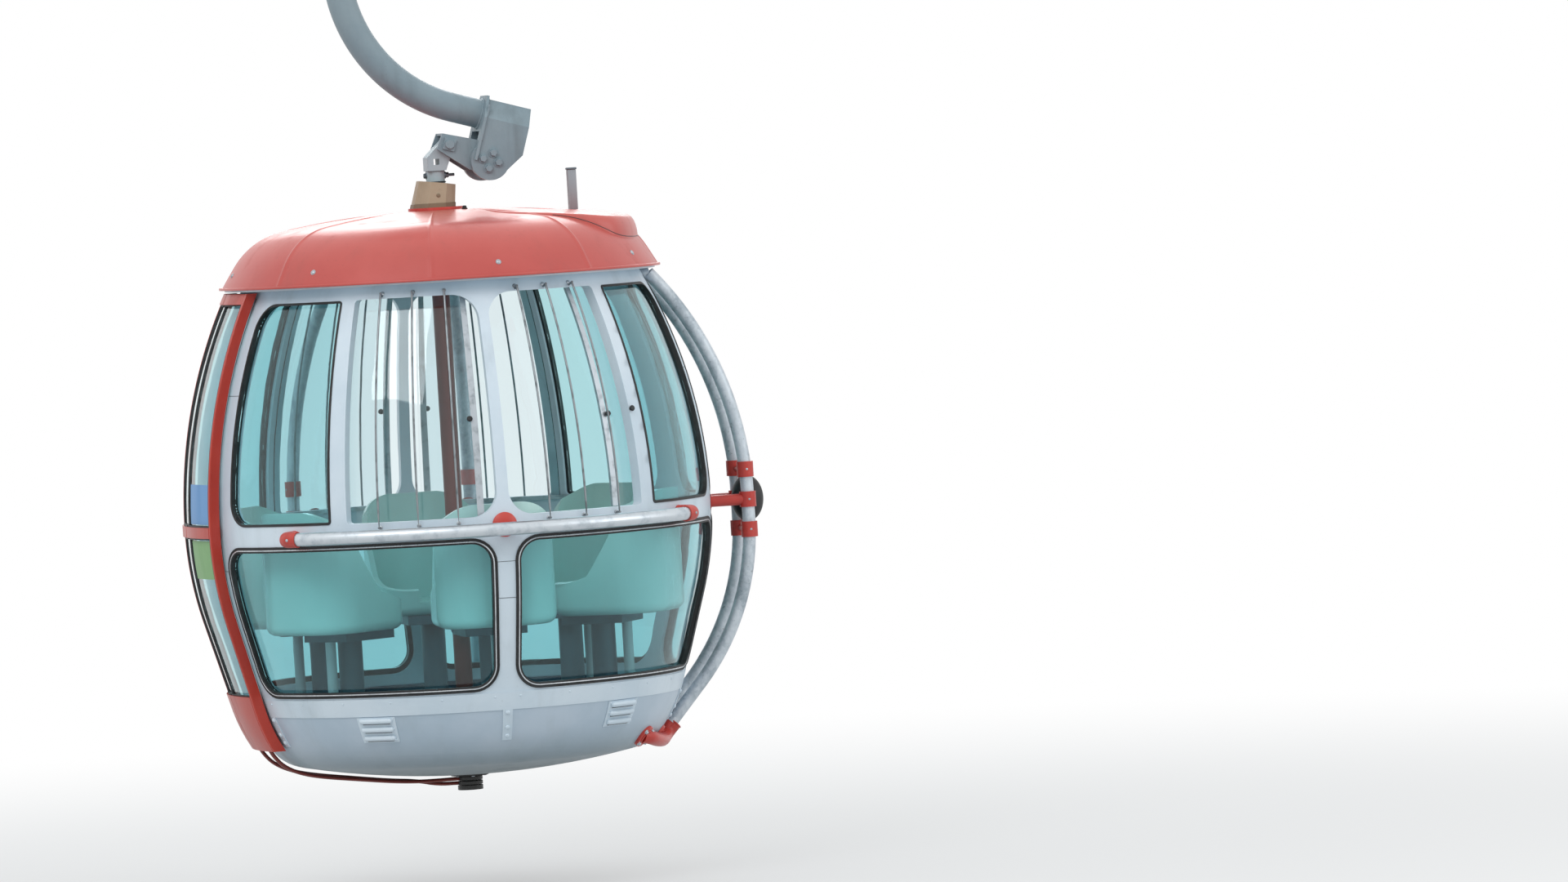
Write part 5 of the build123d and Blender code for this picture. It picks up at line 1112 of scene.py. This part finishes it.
def guard_details():
    """Weld beads and set screws on the guard pipes' sleeves, and the flat rings at the wall."""
    heap = Heap()
    screws = Heap()
    for angle, side in PIPE_PLACES:
        turn = Matrix.Rotation(radians(angle), 3, "Z")
        for rise in SLEEVE_RISES:
            radius = guard_rise_radius(rise)
            for edge in BOTH:
                centre = turn @ Vector((radius, side, HULL_Z + rise + edge * SLEEVE_HALF))
                heap.ring(centre, UP, 0.0282, 0.0024, 40, 0.0003)
            for way in BOTH:
                out = turn @ Vector((0, way, 0))
                centre = turn @ Vector((radius, side, HULL_Z + rise)) + out * SLEEVE_RADIUS
                screws.turned(SET_SCREW, centre, out, 12)
        wall = turn @ Vector((sqrt(WALL_RADIUS ** 2 - side ** 2), side, HULL_Z + SPACER_RISE))
        out = turn @ Vector((1, side * 0.9, 0))
        heap.turned(WALL_RING, wall, out, 32)
        heap.ring(wall + out.normalized() * 0.0055, turn @ Vector((1, 0, 0)), 0.0230, 0.0030, 32, 0.0004)
    heap.make("guard_welds", "cabin", "fitting_red")
    screws.make("guard_screws", "cabin", "bar_steel", BOLT_STEEL)


def guard_feet():
    """Bent tube from each end pipe round to a bolted flange on the hull."""
    heap = Heap()
    bolts = Heap()
    for mirrored in (False, True):
        rows = [(180 - turn if mirrored else turn, radius, rise) for turn, radius, rise in FOOT_BEND]
        path = [round_axis(*row) for row in rows]
        heap.tube(rounded(path, 2), FOOT_RADIUS, 20)
        turn, _, rise = rows[-1]
        out = skin_normal(turn, rise)
        heap.stud(FOOT_FLANGE, turn, rise, 0.0, 28)
        heap.ring(on_skin(turn, rise) + out * 0.010, out, 0.0265, 0.0035, 36, 0.0005)
        heap.ring(path[0], path[0] - path[1], 0.0255, 0.0030, 36, 0.0004)
        across = Vector(UP).cross(out).normalized()
        for side in BOTH:
            for lift in BOTH:
                place = on_skin(turn, rise) + (across * side + out.cross(across) * lift) * FOOT_BOLTS
                hexagon_head(bolts, place + out * 0.0085, out, *FOOT_HEAD)
    heap.make("guard_feet", "cabin", "fitting_red")
    bolts.make("guard_feet_bolts", "cabin", "bar_steel", BOLT_STEEL)


def belt_details():
    """End collars and dimpled screws on the belt pipe's elbows."""
    heap = Heap()
    screws = Heap()
    for turn in (-BELT_PIPE_END, BELT_PIPE_END):
        out = Vector((sin(radians(turn)), -cos(radians(turn)), 0))
        along = Vector((cos(radians(turn)), sin(radians(turn)), 0))
        heap.ring(round_axis(turn, BELT_PIPE_RADIUS, BELT_PIPE_RISE), along, 0.0268, 0.0030, 40, 0.0003)
        inner = round_axis(turn + copysign(1.5, turn), BELT_PIPE_RADIUS, BELT_PIPE_RISE)
        screws.turned(SET_SCREW, inner + out * 0.0285, out, 12)
    heap.make("belt_beads", "cabin", "fitting_red")
    screws.make("belt_screws", "cabin", "bar_steel", BOLT_STEEL)


# Window fittings: knobs on the sliding windows, and where the guard bars' ends are
KNOBS = (
    # turn, rise, off the skin
    (-5.9, 1.336, -0.0432), (35.5, 1.333, 0.0), (30.2, 1.320, -0.0432),
    (174.1, 1.336, -0.0432), (185.9, 1.336, -0.0432),
)
KNOB = ((0.0060, -0.001), (0.0060, 0.004), (0.0100, 0.006), (0.0108, 0.011), (0.0090, 0.014), (0.004, 0.0150))
GROMMET = ((0.0082, -0.001), (0.0082, 0.0016), (0.0060, 0.0032))
BAR_TURNS = [middle + side * turn for middle in MIDDLES for side in BOTH for turn in (10.0, 18.6, 27.2)]
BAR_RISES = (0.965, 1.806)
SHEETS = (
    # name, rises of its foot and head, finish
    ("blank_sheet_blue", 0.994, 1.140, SHEET_BLUE),
    ("blank_sheet_green", 0.792, 0.934, SHEET_GREEN),
)
SHEET_LEFT, SHEET_SPAN = -88.7, 12.4
SHEET_FACES = (0.0378, 0.0370)


def window_fittings():
    """Knobs on the sliding windows, grommets at the bars' ends and blank sheets on the door's glass."""
    knobs = Heap()
    for turn, rise, off in KNOBS:
        knobs.stud(KNOB, turn, rise, off, 18)
    knobs.make("window_knobs", "cabin", "seal_black")
    grommets = Heap()
    for turn in BAR_TURNS:
        for rise in BAR_RISES:
            grommets.stud(GROMMET, turn, rise)
    grommets.make("bar_grommets", "cabin", "bar_steel", BOLT_STEEL)
    turns = [SHEET_LEFT + SHEET_SPAN * step / 12 for step in range(13)]
    outline = [(turn, SHEET_FACES[0]) for turn in turns]
    outline += [(turn, SHEET_FACES[1]) for turn in reversed(turns)]
    for name, low, high, finish in SHEETS:
        sheet = Heap()
        rises = [low + (high - low) * step / 12 for step in range(13)]
        sheet.grid([[on_skin(turn, rise, off) for turn, off in outline] for rise in rises], cap=True)
        sheet.make(name, "leaf_a", "door_red", finish)


# Door leaves: the turns of the near leaf, which is mirrored about the door's middle for the other
DOOR_TURN = -90.0
LEAF_NEAR = 16.5
LEAF_STILE = 0.75
LEAF_RUBBER = 0.45
LEAF_MEETING = 0.03
LEAF_BEAD = 0.32
LEAF_BEAD_HEIGHT = 0.006
LEAF_INNER = 0.014
LEAF_OUTER = 0.054
LEAF_GLASS = (0.0315, 0.0365)
LEAF_RAILS = ((0.145, 0.352), (0.944, 0.984), (1.792, 1.830))
ARM_PATH = (
    # distance from the axis, rise
    (0.200, -0.016), (0.300, -0.008), (0.430, 0.010), (0.580, 0.031), (0.665, 0.052), (0.725, 0.083),
    (0.758, 0.120), (0.775, 0.150),
)
ARM_TURN = 8.5
ARM_HALF, ARM_FLAT = 0.013, 0.54
ARM_START = (0.040, 0.120)
ARM_LEVELS = (-0.0172, -0.0342)
ARM_COLLAR = (
    (0.0275, -0.007), (0.0455, -0.007), (0.047, -0.0055), (0.047, 0.0055), (0.0455, 0.007), (0.0275, 0.007),
)


def skin_bar(heap, left, right, low, high, inner, outer, ease=0.003):
    """Curved bar or pane that follows the skin between two turns and two heights."""
    left, right = min(left, right), max(left, right)
    part = degrees(ease / BODY_RADIUS)
    columns = max(1, int((right - left) / 1.5))
    spans = [left + part + (right - left - 2 * part) * step / columns for step in range(columns + 1)]
    ring = [(left, outer - ease)] + [(turn, outer) for turn in spans]
    ring += [(right, outer - ease), (right, inner)]
    ring += [(turn, inner) for turn in reversed(spans)] + [(left, inner)]
    count = max(2, int((high - low) / 0.03))
    rises = [low + (high - low) * step / count for step in range(count + 1)]
    heap.grid([[on_skin(turn, rise, off) for turn, off in ring] for rise in rises], cap=True)


def door_leaf(letter, way):
    """One door leaf as red frame, panes and rubbers. way is 1 for the near leaf, -1 for its mirror."""
    body = "leaf_" + letter
    near = DOOR_TURN + way * LEAF_NEAR
    sight = near - way * LEAF_STILE
    edge = DOOR_TURN + way * LEAF_RUBBER
    middle = DOOR_TURN + way * LEAF_MEETING
    frame_heap = Heap()
    skin_bar(frame_heap, near, sight, LEAF_RAILS[0][0], LEAF_RAILS[-1][1], LEAF_INNER, LEAF_OUTER)
    for low, high in LEAF_RAILS:
        skin_bar(frame_heap, sight, middle, low, high, LEAF_INNER, LEAF_OUTER)
    piece = frame_heap.make("leaf_frame_" + letter, body, "door_red")
    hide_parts("door_leaf_" + letter)
    panes = Heap()
    rubber = Heap()
    seat = LEAF_GLASS[0] - 0.003
    for (_, low), (high, _) in zip(LEAF_RAILS, LEAF_RAILS[1:]):
        skin_bar(rubber, edge, middle, low, high, LEAF_GLASS[0] - 0.002, LEAF_GLASS[1] + 0.006)
        skin_bar(panes, sight, edge, low, high, *LEAF_GLASS, 0.0008)
        skin_bar(rubber, sight, sight - way * LEAF_BEAD, low, high, seat, LEAF_OUTER - 0.002, 0.0015)
        for first in (low, high - LEAF_BEAD_HEIGHT):
            skin_bar(rubber, sight, edge, first, first + LEAF_BEAD_HEIGHT, seat, LEAF_OUTER - 0.006, 0.0015)
    piece = panes.make("leaf_panes_" + letter, body, "tinted_glass")
    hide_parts("door_glass_" + letter)
    piece = rubber.make("leaf_rubber_" + letter, body, "seal_black")
    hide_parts("door_rubber_" + letter)


def door_arm(letter, way, level):
    """Bent flat bar under the hull that carries a leaf, with its greasy collar on the hub."""
    body = "leaf_" + letter
    turn = DOOR_TURN + way * ARM_TURN
    rows = [(radius, level) for radius in ARM_START] + list(ARM_PATH)
    bar = Heap()
    path = rounded([round_axis(turn, radius, rise) for radius, rise in rows], 2)
    bar.tube(path, ARM_HALF, 16, flat=ARM_FLAT)
    piece = bar.make("leaf_arm_" + letter, body, "arm_red")
    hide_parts("door_arm_" + letter)
    collar = Heap()
    collar.turned(ARM_COLLAR, (0.0, 0.0, HULL_Z + level), UP, 48)
    collar.make("arm_collar_" + letter, body, "arm_red", FINISHES["hub_dark"])


SKIRTING = (
    # rise, off the skin
    (0.203, -0.0415), (0.300, -0.0415), (0.304, -0.0440), (0.304, -0.0460), (0.203, -0.0460),
)
CYLINDER = ((0.012, -0.001), (0.030, 0.003), (0.036, 0.012), (0.036, 0.078), (0.030, 0.090), (0.012, 0.094))


def inside_details():
    """Covering turned up the wall round the floor, and the cylinder on its clamp at the pole."""
    skirting = Heap()
    rows = [[on_skin(turn, rise, off) for turn in range(0, 360, 3)] for rise, off in SKIRTING]
    skirting.grid(rows + [rows[0]])
    skirting.make("floor_skirting", "cabin", "floor_blue")
    cylinder = Heap()
    cylinder.turned(CYLINDER, (-0.052, -0.074, HULL_Z + 0.560), (1, 0, 0), 28)
    cylinder.make("pole_cylinder", "cabin", "floor_blue", CYLINDER_BLUE)
    clamp = Heap()
    clamp.turned([(0.0385, 0.0), (0.0385, 0.034)], (0.0, 0.0, HULL_Z + 0.543), UP, 32)
    clamp.block((0.078, -0.030, HULL_Z + 0.562), (0.110, 0.050, 0.040), 0.006)
    clamp.block((0.0, -0.052, HULL_Z + 0.560), (0.040, 0.036, 0.030), 0.005)
    clamp.make("pole_clamp", "cabin", "seat_metal")


def grip_details():
    """Bolts on the grip's casting and jaw, and the wheels' axle nuts."""
    heap = Heap()
    for side in BOTH:
        for x in (-0.105, -0.180, -0.250):
            hexagon_head(heap, (x, side * 0.150, 0.010), (0, side, 0), *CASTING_HEAD)
        for y in (-0.085, 0.085):
            hexagon_head(heap, (0.046, y, 0.026), (1, 0, 0), *JAW_HEAD)
    for y in (-0.165, 0.165):
        hexagon_head(heap, (-0.391, y, 0.020), (-1, 0, 0), *AXLE_NUT)
    for x in (-0.175, -0.095):
        for y in (-0.190, 0.190):
            heap.turned(dome_profile(0.010, 0.005), (x, y, 0.165), UP)
    heap.make("grip_bolts", "grip", "bar_steel", BOLT_STEEL)


def make_floor_plane():
    """Pale floor under the hanging cabin. It fades into the white around it."""
    mesh = bpy.data.meshes.new("studio_floor")
    half = FLOOR_SIZE / 2
    level = HULL_Z - FLOOR_DROP
    corners = [(-half, -half, level), (half, -half, level), (half, half, level), (-half, half, level)]
    mesh.from_pydata(corners, [], [(0, 1, 2, 3)])
    floor = placed("studio_floor", mesh)
    finish = Finish("studio_floor_paint")
    seen = ray_mask(finish, *SEEN_RAYS)
    distance = finish.node("ShaderNodeVectorMath", {"operation": "LENGTH"}, {0: finish.place()})
    fade = Level(finish, distance.outputs["Value"]).step(*FLOOR_FADE)
    pale = finish.node("ShaderNodeBsdfDiffuse", None, {"Color": FLOOR_PALE})
    white = finish.node("ShaderNodeEmission", None, {"Color": WHITE, "Strength": 1.0})
    mesh.materials.append(finish.blend(seen * (FLOOR_WHITE + fade * (1.0 - FLOOR_WHITE)), pale, white))


def make_world():
    """Soft light from all round, stronger from above, on a white background."""
    world = bpy.data.worlds.new("studio")
    bpy.context.scene.world = world
    world.use_nodes = True
    sky = Finish("studio", world.node_tree)
    seen = ray_mask(sky, *SEEN_RAYS)
    direction = sky.node("ShaderNodeTexCoord").outputs["Generated"]
    parts = sky.node("ShaderNodeSeparateXYZ", None, {0: direction})
    soft = SKY_LOW + Level(sky, parts.outputs["Z"]).step(*SKY_SPAN) * SKY_GAIN
    background = sky.node(
        "ShaderNodeBackground", None, {"Color": WHITE, "Strength": seen + (1.0 - seen) * soft})
    sky.node("ShaderNodeOutputWorld", None, {"Surface": background.outputs[0]})


def make_lights():
    """Large soft lamps: key high on the left of the camera, a weak fill on the right, one behind."""
    for name, (x, y, rise), watts in LAMPS:
        light = bpy.data.lights.new(name, "AREA")
        light.shape = "SQUARE"
        light.size = LAMP_SIZE
        light.energy = watts
        lamp = placed(name, light)
        lamp.location = (x, y, HULL_Z + rise)
        aim = Vector((0.0, 0.0, HULL_Z + LAMP_TARGET)) - lamp.location
        lamp.rotation_euler = aim.to_track_quat("-Z", "Y").to_euler()


def make_camera():
    """Camera far off with a long lens, turned so that its frame is cut as the picture is."""
    azimuth, roll = radians(CAMERA_AZIMUTH), radians(CAMERA_ROLL)
    level = Vector((cos(azimuth), sin(azimuth), 0.0))
    right = level * cos(roll) - Vector(UP) * sin(roll)
    up = level * sin(roll) + Vector(UP) * cos(roll)
    over = (PICTURE[0] / 2 - LEVEL_POINT[0], PICTURE[1] / 2 - LEVEL_POINT[1])
    forward = (up.cross(right) * FOCAL_PIXELS + right * over[0] - up * over[1]).normalized()
    side = forward.cross(up).normalized()
    top = side.cross(forward)
    data = bpy.data.cameras.new("camera")
    data.sensor_width = SENSOR
    data.lens = FOCAL_PIXELS / PICTURE[0] * SENSOR
    data.clip_end = CLIP_END
    camera = placed("camera", data)
    place = Vector((
        CAMERA_DISTANCE * sin(azimuth), -CAMERA_DISTANCE * cos(azimuth), HULL_Z + CAMERA_RISE))
    axes = Matrix((side, top, -forward)).transposed().to_4x4()
    camera.matrix_world = Matrix.Translation(place) @ axes
    bpy.context.scene.camera = camera


dress_solids()
seal_beads("seal_strips", (LOWER_SEAL * 0.55,), STRIP_PROUD, STRIP_TUBE, "channel_metal", STRIP_BRIGHT)
seal_beads("seal_lips", (0.0015, LOWER_SEAL - 0.0035), LIP_PROUD, LIP_TUBE, "seal_black")
hull_rivets()
louvres()
panel_seams()
roof_skin()
roof_hood()
roof_stem()
roof_fasteners()
door_leaf("a", 1)
door_leaf("b", -1)
door_arm("a", 1, ARM_LEVELS[0])
door_arm("b", -1, ARM_LEVELS[1])
suspension_bolts()
suspension_welds()
flange_bolts()
stub_details()
hub_bolts()
guard_details()
guard_feet()
belt_details()
window_fittings()
inside_details()
grip_details()
make_floor_plane()
make_world()
make_lights()
make_camera()
bpy.context.scene.view_settings.view_transform = "Standard"
